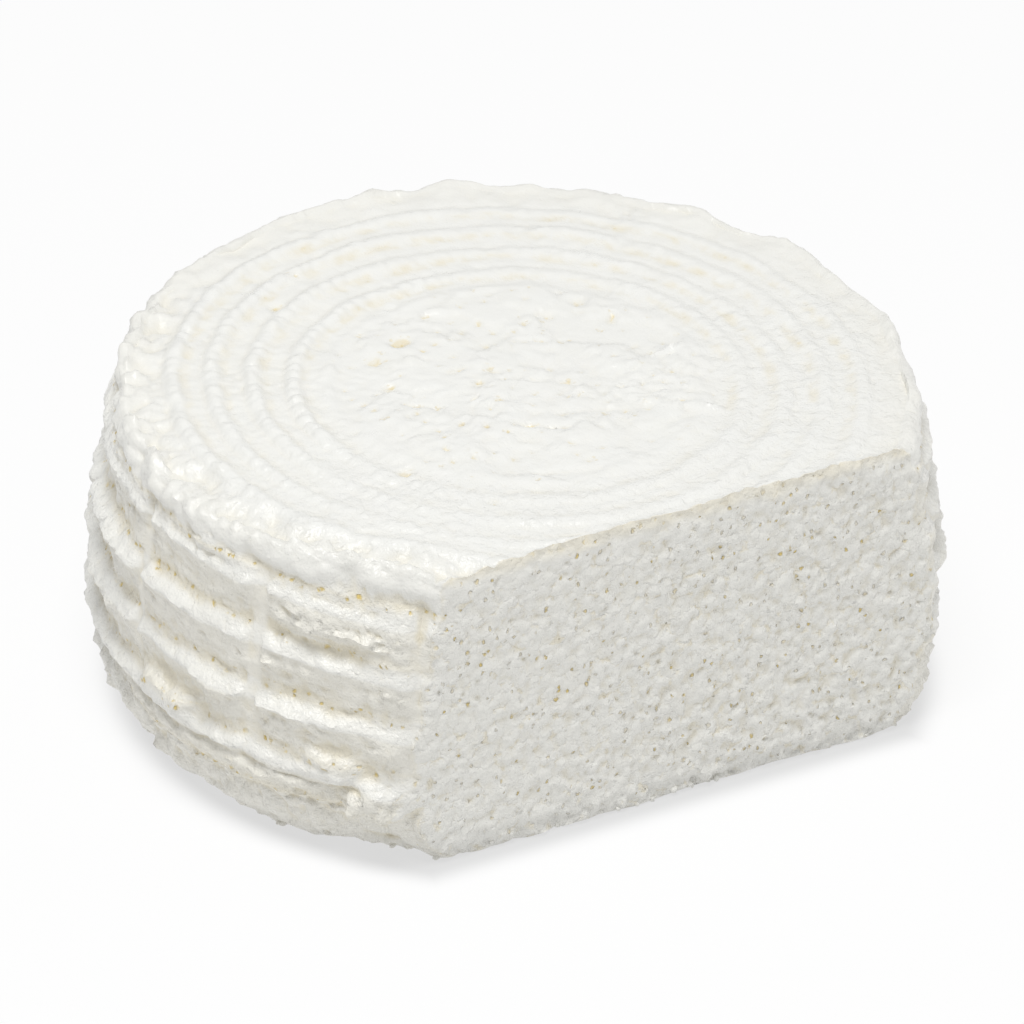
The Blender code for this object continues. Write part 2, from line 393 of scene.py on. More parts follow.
@dataclass
class WheelForm:
    """The wheel as the basket leaves it, before its surface is roughened."""

    height: float = 83.4 * MM
    belly_radius: float = 107.0 * MM
    belly_height: float = 29.0 * MM
    draw_to_top: float = 7.4 * MM
    draw_to_foot: float = 11.5 * MM
    foot_skew: float = 4.0 * MM
    foot_skew_angle: float = math.radians(137.0)
    foot_radius: float = 91.0 * MM
    rim_radius: float = 96.5 * MM
    cut_distance: float = 71.8 * MM
    top_lean: float = math.radians(1.0)
    ledge_count: int = 5
    ledge_pitch: float = 14.8 * MM
    top_crest: float = 70.2 * MM
    ledge_depth: float = 3.1 * MM
    crease_at: float = 0.29
    strap_count: int = 15
    strap_start: float = math.radians(177.6)
    strap_depth: float = 2.7 * MM
    ring_radii: tuple[float, ...] = (85.0 * MM, 75.4 * MM, 65.4 * MM, 55.6 * MM)
    ring_width: float = 5.0 * MM
    ring_sag: float = 2.4 * MM
    ring_sag_angle: float = math.radians(85.0)
    ring_sag_spread: float = math.radians(38.0)
    waver: float = 1.0 * MM
    rim_lumps: float = 1.3 * MM
    seed: Vector = field(default_factory=lambda: Vector((3.7, 11.3, 5.9)))
    corner_angle: float = math.radians(-137.0)
    corner_spread: float = math.radians(13.0)
    corner_wear: float = 5.5 * MM
    corner_drop: float = 3.0 * MM
    corner_reach: float = 12.0 * MM
    cut_fade: float = math.radians(5.0)

    def envelope(self, height: np.ndarray) -> np.ndarray:
        """Radius over the crests of the ledges at each height.

        Args:
            height: Height of each point.

        Returns:
            The radius at each.
        """
        above = np.clip((height - self.belly_height) / (self.height - self.belly_height), 0.0, None)
        under = np.clip((self.belly_height - height) / self.belly_height, 0.0, None)
        return self.belly_radius - self.draw_to_top * above ** 2 - self.draw_to_foot * under ** 3.5

    def crease(self) -> float:
        """Height of the highest crease."""
        return self.top_crest + self.crease_at * self.ledge_pitch

    def lowest_crest(self) -> float:
        """Height of the lowest ledge's crest."""
        return self.top_crest - (self.ledge_count - 1) * self.ledge_pitch

    def wavering(self, angle: np.ndarray, height: np.ndarray, scale: float, channel: float) -> np.ndarray:
        """Slow waver of the wheel, from -1 to 1.

        Args:
            angle: Angle of each point about the axis.
            height: Height of each point.
            scale: Number of waves around the wheel, roughly.
            channel: Which of the wavers is read.

        Returns:
            The waver at each point.
        """
        xs = np.cos(angle) * scale + self.seed.x
        ys = np.sin(angle) * scale + self.seed.y
        zs = height / (12.0 * MM) + channel + self.seed.z
        return np.array([noise.noise((x, y, z)) for x, y, z in zip(xs.tolist(), ys.tolist(), zs.tolist())])

    def apart(self, angle: np.ndarray, other: float) -> np.ndarray:
        """Signed turn from one angle to others, from -pi to pi."""
        return (angle - other + math.pi) % (2.0 * math.pi) - math.pi

    def cut_share(self, angle: np.ndarray) -> np.ndarray:
        """1 at either end of the cut, falling to 0 away from it.

        Args:
            angle: Angle of each point about the axis.

        Returns:
            The share at each point.
        """
        half = math.acos(self.cut_distance / self.belly_radius)
        off = np.abs(np.abs(self.apart(angle, -0.5 * math.pi)) - half)
        return np.exp(-((off / self.cut_fade) ** 2))

    def drift(self, angle: np.ndarray, out: np.ndarray, rise: np.ndarray, side: np.ndarray) -> np.ndarray:
        """How far each point moves away from the axis.

        Args:
            angle: Angle about the axis.
            out: Radius of the plain form.
            rise: Height of the plain form.
            side: 1 on the side, 0 on the top face.

        Returns:
            The move in metres.
        """
        move = self.waver * self.wavering(angle, rise, 4.0, 40.0) * (out > self.rim_radius - 0.2 * MM)
        around = np.exp(-((self.apart(angle, self.ring_sag_angle) / self.ring_sag_spread) ** 2))
        across = np.exp(-(((out - 55.0 * MM) / (12.0 * MM)) ** 2))
        move = move - self.ring_sag * around * across * (side == 0.0) * (rise > 0.5 * self.height)
        wear = self.corner_wear * np.exp(-((self.apart(angle, self.corner_angle) / self.corner_spread) ** 2))
        under = np.clip((self.belly_height - rise) / self.belly_height, 0.0, None)
        skew = self.foot_skew * np.cos(angle - self.foot_skew_angle) * under ** 3.5
        reach = np.clip((out + move) / self.foot_radius, 0.0, 1.0) ** 6
        return move - (wear * reach + skew * (out > 0.5 * self.foot_radius)) * (out > 0.5 * self.foot_radius)

    def lift(self, angle: np.ndarray, out: np.ndarray, rise: np.ndarray, side: np.ndarray) -> np.ndarray:
        """How far each point moves up, before the lean of the whole.

        Args:
            angle: Angle about the axis.
            out: Radius of the plain form.
            rise: Height of the plain form.
            side: 1 on the side, 0 on the top face.

        Returns:
            The move in metres.
        """
        on_side = out > self.rim_radius - 0.2 * MM
        zero = np.zeros_like(angle)
        rim = self.rim_lumps * (1.0 - side) * self.wavering(angle, zero, 6.0, 160.0)
        low = np.clip(rise / (8.0 * MM), 0.0, 1.0)
        sway = 0.6 * self.waver * side * self.wavering(angle, rise, 5.0, 80.0) * low
        xs = np.cos(angle) * out / (14.0 * MM) + self.seed.x
        ys = np.sin(angle) * out / (14.0 * MM) + self.seed.y
        z = 120.0 + self.seed.z
        ripple = np.array([noise.noise((x, y, z)) for x, y in zip(xs.tolist(), ys.tolist())])
        flat = 0.35 * self.waver * ripple * (rise > 0.5 * self.height)
        return np.where(on_side, rim + sway, flat)

    def lean(self, x: np.ndarray, y: np.ndarray, height: np.ndarray) -> np.ndarray:
        """Change of height from the lean of the top and the worn corner of the cut.

        Args:
            x: Place across, from the axis.
            y: Place away from the axis.
            height: Height of the plain form.

        Returns:
            The change in metres.
        """
        rim = self.belly_radius - self.draw_to_top - self.corner_wear
        corner_x = -math.sqrt(rim ** 2 - self.cut_distance ** 2)
        away = np.hypot(x - corner_x, y + self.cut_distance)
        near = np.clip(1.0 - away / self.corner_reach, 0.0, None)
        drop = self.corner_drop * near ** 1.2 * (height / self.height) ** 3
        return height * math.tan(self.top_lean) * y / self.height - drop


@dataclass(frozen=True)
class Row:
    """One ring of points of the skin."""

    out: float        # radius
    rise: float       # height
    facing: float     # degrees that the surface looks above the horizontal
    side: float       # 1 on the side, 0 on the top face
    columns: int


@dataclass
class WheelSkin:
    """The plain skin of the whole wheel, in rows and columns, with what the relief reads."""

    form: WheelForm
    axis_y: float
    columns: int = 528
    # Bearings of the held marks, in degrees round from one end of the cut
    bearing_marks: tuple[float, ...] = (-137.0, -43.0, 145.0, 223.0)
    bearing_shares: tuple[float, ...] = (0.0, 0.185, 0.685, 1.0)    # share of a row's points up to each
    ledge_rows: int = 12
    shelf_rows: int = 6
    shoulder_rows: int = 12
    torn: tuple[Patch, ...] = (
        Patch(214.0, 65.5, 11.0, 3.0, 1.0),
        Patch(206.0, 51.0, 4.5, 2.5, 0.8),
        Patch(221.0, 51.0, 4.0, 3.5, 0.9),
        Patch(209.0, 39.0, 6.0, 2.5, 0.9),
        Patch(221.0, 37.0, 4.0, 3.0, 0.9),
        Patch(195.0, 40.5, 4.0, 1.5, 0.6),
        Patch(214.0, 15.0, 12.0, 4.0, 0.8),
        Patch(166.0, 54.0, 8.0, 14.0, 0.5),
        Patch(165.0, 66.0, 8.0, 5.0, 0.5),
        Patch(152.0, 40.0, 12.0, 40.0, 0.25),
    )
    lumpy: tuple[Patch, ...] = (
        Patch(222.3, 21.5, 4.6, 7.0, 1.3),
        Patch(218.2, 20.0, 1.6, 3.5, 1.6),
        Patch(186.0, 29.0, 6.5, 3.5, 1.2),
        Patch(214.0, 29.0, 4.0, 4.0, 0.9),
        Patch(200.0, 17.0, 30.0, 5.0, 0.7),
        Patch(222.0, 65.0, 4.0, 12.0, 0.5),
        Patch(150.0, 40.0, 12.0, 40.0, 0.3),
    )
    clean: tuple[Patch, ...] = (
        Patch(189.5, 58.0, 10.0, 18.0, 1.0),
        Patch(207.0, 58.0, 6.0, 4.0, 0.7),
        Patch(207.0, 44.0, 6.0, 4.0, 0.7),
    )
    ridges: tuple[Ridge, ...] = (
        Ridge(203.5, 226.0, 64.0, 3.0, 1.3, 1.3),
        Ridge(206.0, 224.0, 67.5, 2.0, 0.9, 0.8),
        Ridge(202.5, 210.5, 51.8, -0.4, 1.0, 1.2),
        Ridge(191.0, 199.5, 40.4, -1.0, 0.9, 0.7),
        Ridge(178.5, 186.0, 56.8, 0.4, 0.8, 0.6),
        Ridge(160.0, 176.5, 56.0, -1.5, 1.2, 1.0),
        Ridge(157.0, 176.5, 40.0, -1.0, 1.2, 0.9),
        Ridge(128.0, 150.0, 51.0, 1.0, 1.2, 1.0),
        Ridge(84.0, 103.0, 65.0, -2.0, 1.2, 1.1),
        Ridge(60.0, 78.0, 36.0, 2.0, 1.1, 1.0),
        Ridge(12.0, 32.0, 52.0, -1.5, 1.1, 1.0),
        Ridge(-38.0, -20.0, 40.0, 1.5, 1.2, 1.1),
    )
    scallops: tuple[Scallop, ...] = (
        Scallop(-27.0, 5.0, 0.25),
        Scallop(-9.0, 4.0, 0.3),
        Scallop(15.5, 5.5, 1.0),
        Scallop(32.0, 3.8, 1.0),
        Scallop(46.0, 4.5, 0.55),
        Scallop(57.5, 2.8, 0.3),
        Scallop(69.5, 5.5, 1.0),
        Scallop(81.5, 3.6, 0.8),
        Scallop(88.0, 2.4, 0.4),
        Scallop(97.0, 4.0, 0.3),
        Scallop(112.0, 2.6, 0.55),
        Scallop(119.0, 2.6, 0.5),
        Scallop(125.5, 2.4, 0.5),
        Scallop(134.0, 3.0, 0.4),
        Scallop(144.0, 3.5, 0.3),
        Scallop(163.0, 4.0, 0.3),
        Scallop(190.0, 5.0, 0.3),
        Scallop(209.0, 4.0, 0.3),
    )
    seams: tuple[Seam, ...] = (
        Seam(18.5, -18.5, 29.0, -27.5, 1.2, 1.3),
        Seam(29.0, -27.5, 37.5, -33.0, 1.2, 1.3),
        Seam(17.0, -16.0, 28.0, -6.5, 0.9, 0.7),
        Seam(28.0, -6.5, 45.0, -2.5, 0.9, 0.6),
        Seam(-11.0, -17.0, -4.0, -22.5, 0.8, -1.2),
        Seam(-4.0, -22.5, 3.0, -26.0, 0.8, -1.2),
        Seam(-30.0, 4.0, -22.0, -1.0, 0.8, -0.8),
        Seam(8.0, 18.0, 20.0, 12.0, 0.8, -0.8),
        Seam(-3.0, 8.0, 6.0, 2.0, 0.8, -0.6),
        Seam(-20.0, -38.0, -8.0, -42.0, 0.8, -0.7),
        Seam(30.0, 24.0, 38.0, 17.0, 0.8, -0.7),
    )
    pits: tuple[Pit, ...] = (
        Pit(-16.0, 30.0, 2.6, 1.9),
        Pit(-26.0, 25.5, 2.2, 1.3),
        Pit(-30.0, 13.0, 1.7, 1.2),
        Pit(0.0, 28.0, 1.5, 1.1),
        Pit(15.5, 23.5, 1.5, 1.1),
        Pit(23.0, 24.5, 1.4, 0.8),
        Pit(33.5, 27.5, 1.7, 1.2),
        Pit(36.0, 16.0, 1.4, 0.9),
        Pit(-12.0, 12.0, 1.5, 0.9),
        Pit(-9.0, 4.0, 1.3, 0.8),
        Pit(-8.0, -6.0, 1.2, 0.8),
        Pit(-46.0, -24.0, 2.0, 1.3),
        Pit(-34.0, -46.0, 1.5, 0.9),
        Pit(-22.0, -46.5, 1.4, 0.8),
        Pit(-35.0, 59.5, 1.9, 1.2),
        Pit(-24.5, 71.0, 2.2, 0.9),
        Pit(-11.0, 12.0, 1.1, 0.8),
    )

    def profile(self) -> list[Row]:
        """Rows of the skin from the middle of the top, out, down the side and under the foot.

        Returns:
            The rows, in the order that they are stitched.
        """
        form = self.form
        full = self.columns
        level = form.height - 0.4 * MM
        rows = [Row(0.0, level, 90.0, 0.0, 1)]
        middle = (
            (1.2, 12.0, 1.1, full // 8),
            (12.4, 24.0, 1.05, full // 4),
            (24.4, 47.9, 1.02, full // 2),
        )
        for start, stop, step, columns in middle:
            for out in np.arange(start, stop, step):
                rows.append(Row(out * MM, level, 90.0, 0.0, columns))
        edge = 48.6 * MM
        half = 0.5 * form.ring_width
        for radius in reversed(form.ring_radii):
            rows += self.between(edge, radius - half, 0.95 * MM, level, full)
            rows += self.between(radius - half, radius + half + 0.35 * MM, 0.67 * MM, level, full)
            edge = radius + half + 0.35 * MM
        rows += self.between(edge, form.rim_radius, 0.95 * MM, level, full)
        outer = float(form.envelope(np.array(form.crease()))) - 0.15 * form.ledge_depth
        drop = form.height - form.crease()
        for step in range(self.shoulder_rows):
            angle = math.radians(90.0 - 88.0 * step / (self.shoulder_rows - 1))
            out = form.rim_radius + (outer - form.rim_radius) * math.cos(angle)
            rise = form.height + 0.5 * MM - drop * (1.0 - math.sin(angle))
            rows.append(Row(out, rise, math.degrees(angle), min((form.height - rise) / drop, 1.0), full))
        shelf = form.crease_at * form.ledge_pitch
        flank = form.ledge_pitch - shelf
        heights = [form.crease() - i * shelf / self.shelf_rows for i in range(self.shelf_rows)]
        for index in range(1, form.ledge_count):
            crest = form.top_crest - (index - 1) * form.ledge_pitch
            heights += [crest - i * flank / self.ledge_rows for i in range(self.ledge_rows)]
            low = crest - flank
            heights += [low - i * shelf / self.shelf_rows for i in range(self.shelf_rows)]
        foot = form.lowest_crest()
        heights += [foot * (1.0 - i / 14.0) for i in range(14)]
        for rise in heights:
            rows.append(Row(float(form.envelope(np.array(rise))), rise, 0.0, 1.0, full))
        for out, rise in ((0.7, 0.35), (0.4, 0.12)):
            span = float(form.envelope(np.array(0.0))) - form.foot_radius
            rows.append(Row(form.foot_radius + out * span, rise * MM, -60.0, 1.0, full))
        coarser = ((91.0, full), (88.5, full // 2), (84.0, full // 4), (76.0, full // 8), (0.0, 1))
        for out, columns in coarser:
            rows.append(Row(out * MM, 0.0, -90.0, 1.0, columns))
        return rows

    def bearings(self, count: int) -> np.ndarray:
        """Angles of a row's points, in radians from 0 to one full turn."""
        share = (np.arange(count) + 0.5) / count
        return np.radians(np.interp(share, self.bearing_shares, self.bearing_marks)) % (2.0 * math.pi)

    def between(self, start: float, stop: float, step: float, rise: float, columns: int) -> list[Row]:
        """Even rows of the top face between two radii, the last left out."""
        count = max(1, round((stop - start) / step))
        return [Row(start + (stop - start) * i / count, rise, 90.0, 0.0, columns) for i in range(count)]

    def stitch(self, first: int, many: int, second: int, few: int) -> list[tuple[int, ...]]:
        """Faces between an upper row and the row below or outside it.

        Args:
            first: Index of the first point of the upper row.
            many: Points in the upper row.
            second: Index of the first point of the lower row.
            few: Points in the lower row: as many, twice as many, half, or 1.

        Returns:
            The faces, looking outwards.
        """
        faces: list[tuple[int, ...]] = []
        count = max(many, few)
        for i in range(count):
            j = (i + 1) % count
            if many == few:
                faces.append((first + i, second + i, second + j, first + j))
            elif many == 1:
                faces.append((first, second + i, second + j))
            elif few == 1:
                faces.append((first + i, second, first + j))
            elif few > many:
                a = first + i // 2
                b = first + (i // 2 + 1) % many
                faces.append((a, second + i, second + j) if i % 2 == 0 else (a, second + i, second + j, b))
            else:
                a = second + i // 2
                b = second + (i // 2 + 1) % few
                faces.append((first + i, a, first + j) if i % 2 == 0 else (first + i, a, b, first + j))
        return faces

    def soft(self, patches: Iterable[Patch], turn: np.ndarray, rise: np.ndarray) -> np.ndarray:
        """Sum of soft patches at each point, from 0 up.

        Args:
            patches: The patches.
            turn: Angle of each point about the axis.
            rise: Height of each point.

        Returns:
            The strongest patch's amount at each point.
        """
        total = np.zeros_like(turn)
        for patch in patches:
            across = np.degrees(self.form.apart(turn, math.radians(patch.turn))) / patch.half_turn
            up = (rise / MM - patch.rise) / patch.half_rise
            total = np.maximum(total, patch.amount * np.exp(-(across ** 4 + up ** 4)))
        return total

    def ridge_height(self, turn: np.ndarray, rise: np.ndarray) -> np.ndarray:
        """Height of the torn ridges at each point, in millimetres.

        Args:
            turn: Angle of each point about the axis.
            rise: Height of each point.

        Returns:
            The height at each point.
        """
        total = np.zeros_like(turn)
        for ridge in self.ridges:
            middle = math.radians(0.5 * (ridge.start + ridge.end))
            half = 0.5 * (ridge.end - ridge.start)
            along = np.degrees(self.form.apart(turn, middle)) / half
            line = ridge.rise + ridge.climb * 0.5 * (along + 1.0)
            up = (rise / MM - line) / ridge.width
            total += ridge.height * np.exp(-(up ** 2) - along ** 8)
        return total

    def pit_depth(self, x: np.ndarray, y: np.ndarray, top: np.ndarray) -> np.ndarray:
        """Depth of the top face's pits at each point, in millimetres.

        Args:
            x: Place across, from the axis.
            y: Place away from the axis.
            top: 1 on the top face, 0 elsewhere.

        Returns:
            The depth, a little below 0 at the raised lip of each pit.
        """
        total = np.zeros_like(x)
        for pit in self.pits:
            away = np.hypot(x / MM - pit.x, 1.15 * (y / MM - pit.y)) / (1.25 * pit.size)
            lip = 0.12 * pit.depth * np.exp(-(((away - 1.35) / 0.3) ** 2))
            hole = 0.75 * pit.depth * np.clip((1.25 - away) / 0.8, 0.0, 1.0)
            total = np.where(hole > total, hole, np.where(total > 0.0, total, -lip))
        return total * top

    def scallop_share(self, turn: np.ndarray) -> np.ndarray:
        """How far the rim bulges at each point, from 0 to about 1.

        Args:
            turn: Angle of each point about the axis.

        Returns:
            The bulge at each point.
        """
        total = np.zeros_like(turn)
        for scallop in self.scallops:
            off = np.degrees(self.form.apart(turn, math.radians(scallop.turn))) / scallop.half_turn
            total += scallop.amount * np.exp(-(off ** 2))
        return total

    def seam_height(self, x: np.ndarray, y: np.ndarray, top: np.ndarray) -> np.ndarray:
        """Height of the top face's beads and cracks at each point, in millimetres.

        Args:
            x: Place across, from the axis.
            y: Place away from the axis.
            top: 1 on the top face, 0 elsewhere.

        Returns:
            The height, below 0 in a crack.
        """
        total = np.zeros_like(x)
        for seam in self.seams:
            run_x, run_y = seam.end_x - seam.x, seam.end_y - seam.y
            off_x, off_y = x / MM - seam.x, y / MM - seam.y
            along = np.clip((off_x * run_x + off_y * run_y) / (run_x ** 2 + run_y ** 2), 0.0, 1.0)
            away = np.hypot(off_x - along * run_x, off_y - along * run_y) / seam.width
            total += seam.height * np.exp(-(away ** 2))
        return total * top

    def plate(self, x: np.ndarray, y: np.ndarray) -> np.ndarray:
        """Height of the ragged raised plate beside the middle of the top face, from 0 to 1.

        Args:
            x: Place across, from the axis.
            y: Place away from the axis.

        Returns:
            The height at each point.
        """
        corners = ((17.0, -16.0), (37.0, -33.0), (46.0, -2.0), (29.0, -5.0))
        inside = np.full_like(x, 1e3)
        for i, (ax, ay) in enumerate(corners):
            bx, by = corners[(i + 1) % len(corners)]
            length = math.hypot(bx - ax, by - ay)
            inside = np.minimum(inside, ((bx - ax) * (y / MM - ay) - (by - ay) * (x / MM - ax)) / length)
        return np.clip(0.5 + inside / 1.6, 0.0, 1.0)

    def build(self) -> bpy.types.Object:
        """Make the skin as a mesh object that carries what the relief reads.

        Returns:
            The object, linked to the scene.
        """
        rows = self.profile()
        turn, out, rise, facing, side = [], [], [], [], []
        starts = []
        total = 0
        for row in rows:
            starts.append(total)
            total += row.columns
            angles = self.bearings(row.columns)
            turn.append(angles if row.columns > 1 else np.zeros(1))
            out.append(np.full(row.columns, row.out))
            rise.append(np.full(row.columns, row.rise))
            facing.append(np.full(row.columns, math.radians(row.facing)))
            side.append(np.full(row.columns, row.side))
        faces: list[tuple[int, ...]] = []
        for i in range(len(rows) - 1):
            faces += self.stitch(starts[i], rows[i].columns, starts[i + 1], rows[i + 1].columns)
        angle, radius, height = np.concatenate(turn), np.concatenate(out), np.concatenate(rise)
        look, on_side = np.concatenate(facing), np.concatenate(side)
        form = self.form
        x, y = radius * np.cos(angle), radius * np.sin(angle)
        drift = form.drift(angle, radius, height, on_side)
        lift = form.lift(angle, radius, height, on_side) * (height > 1e-6)
        lift = lift + form.lean(x, y, height)
        top = (1.0 - on_side) * (height > 0.5 * form.height)
        fields = {
            "turn": angle, "out": radius, "rise": height, "side": on_side, "drift": drift, "lift": lift,
            "facing_out": np.cos(look), "facing_up": np.sin(look),
            "uneven": form.wavering(angle, height, 8.0, 0.0),
            "scallop": self.scallop_share(angle),
            "cut_end": form.cut_share(angle),
            "torn": self.soft(self.torn, angle, height) * on_side,
            "lumpy": self.soft(self.lumpy, angle, height) * on_side,
            "clean": self.soft(self.clean, angle, height) * on_side,
            "ridge": self.ridge_height(angle, height) * on_side,
            "pit": self.pit_depth(x, y, top),
            "plate": self.plate(x, y) * top,
            "seam": self.seam_height(x, y, top),
            "top": top,
            "grip": np.clip(height / (2.0 * MM), 0.0, 1.0) ** 0.5,
        }
        mesh = bpy.data.meshes.new("skin")
        points = np.stack((x, y + self.axis_y, height), axis=1)
        mesh.from_pydata(points.tolist(), [], faces)
        for name, values in fields.items():
            layer = mesh.attributes.new(name, "FLOAT", "POINT")
            layer.data.foreach_set("value", values.astype(np.float32))
        mesh.update()
        skin = bpy.data.objects.new("skin", mesh)
        bpy.context.scene.collection.objects.link(skin)
        return skin


class ReliefTree:
    """Shared work of the trees that shape the curd."""

    def __init__(self, name: str, inputs: dict[str, float]) -> None:
        """Start a geometry tree with named inputs.

        Args:
            name: The tree's name.
            inputs: Its inputs and their values, lengths in millimetres.
        """
        self.inputs = inputs
        self.tree = bpy.data.node_groups.new(name, "GeometryNodeTree")
        face = self.tree.interface
        face.new_socket("Geometry", in_out="INPUT", socket_type="NodeSocketGeometry")
        face.new_socket("Geometry", in_out="OUTPUT", socket_type="NodeSocketGeometry")
        for label in inputs:
            face.new_socket(label, in_out="INPUT", socket_type="NodeSocketFloat")
        self.bench = Bench(self.tree)
        self.entry = self.tree.nodes.new("NodeGroupInput")

    def given(self, label: str) -> Wire:
        """One of the tree's inputs."""
        return Wire(self.bench, self.entry.outputs[label])

    def read(self, name: str) -> Wire:
        """A value held at each point of the mesh."""
        settings = {"data_type": "FLOAT"}
        return self.bench.node("GeometryNodeInputNamedAttribute", settings, {"Name": name}, "Attribute")

    def store(self, geometry_wire: Wire, name: str, value: Wire) -> Wire:
        """Hold a value at each point of the mesh and return the mesh.

        Args:
            geometry_wire: The mesh.
            name: Name that the value is held under.
            value: The value.

        Returns:
            The mesh that holds it.
        """
        settings = {"data_type": "FLOAT", "domain": "POINT"}
        values = {"Geometry": geometry_wire, "Name": name, "Value": value}
        return self.bench.node("GeometryNodeStoreNamedAttribute", settings, values)

    def close(self, geometry_wire: Wire, material: bpy.types.Material) -> None:
        """End the tree in Realize Instances and Set Material.

        Args:
            geometry_wire: The finished mesh.
            material: The material that it gets.
        """
        real = self.bench.node("GeometryNodeRealizeInstances", None, {"Geometry": geometry_wire})
        dressed = self.bench.node("GeometryNodeSetMaterial", None, {"Geometry": real, "Material": material})
        leave = self.tree.nodes.new("NodeGroupOutput")
        self.tree.links.new(dressed.socket, leave.inputs["Geometry"])

    def apply(self, target: bpy.types.Object) -> bpy.types.Mesh:
        """Run the tree on an object and return the result as a plain mesh.

        Args:
            target: The object whose mesh goes in.

        Returns:
            The worked mesh.
        """
        modifier = target.modifiers.new(self.tree.name, "NODES")
        modifier.node_group = self.tree
        for item in self.tree.interface.items_tree:
            if item.in_out == "INPUT" and item.name in self.inputs:
                modifier[item.identifier] = self.inputs[item.name]
        bpy.context.view_layer.update()
        evaluated = target.evaluated_get(bpy.context.evaluated_depsgraph_get())
        mesh = bpy.data.meshes.new_from_object(evaluated)
        target.modifiers.remove(modifier)
        return mesh


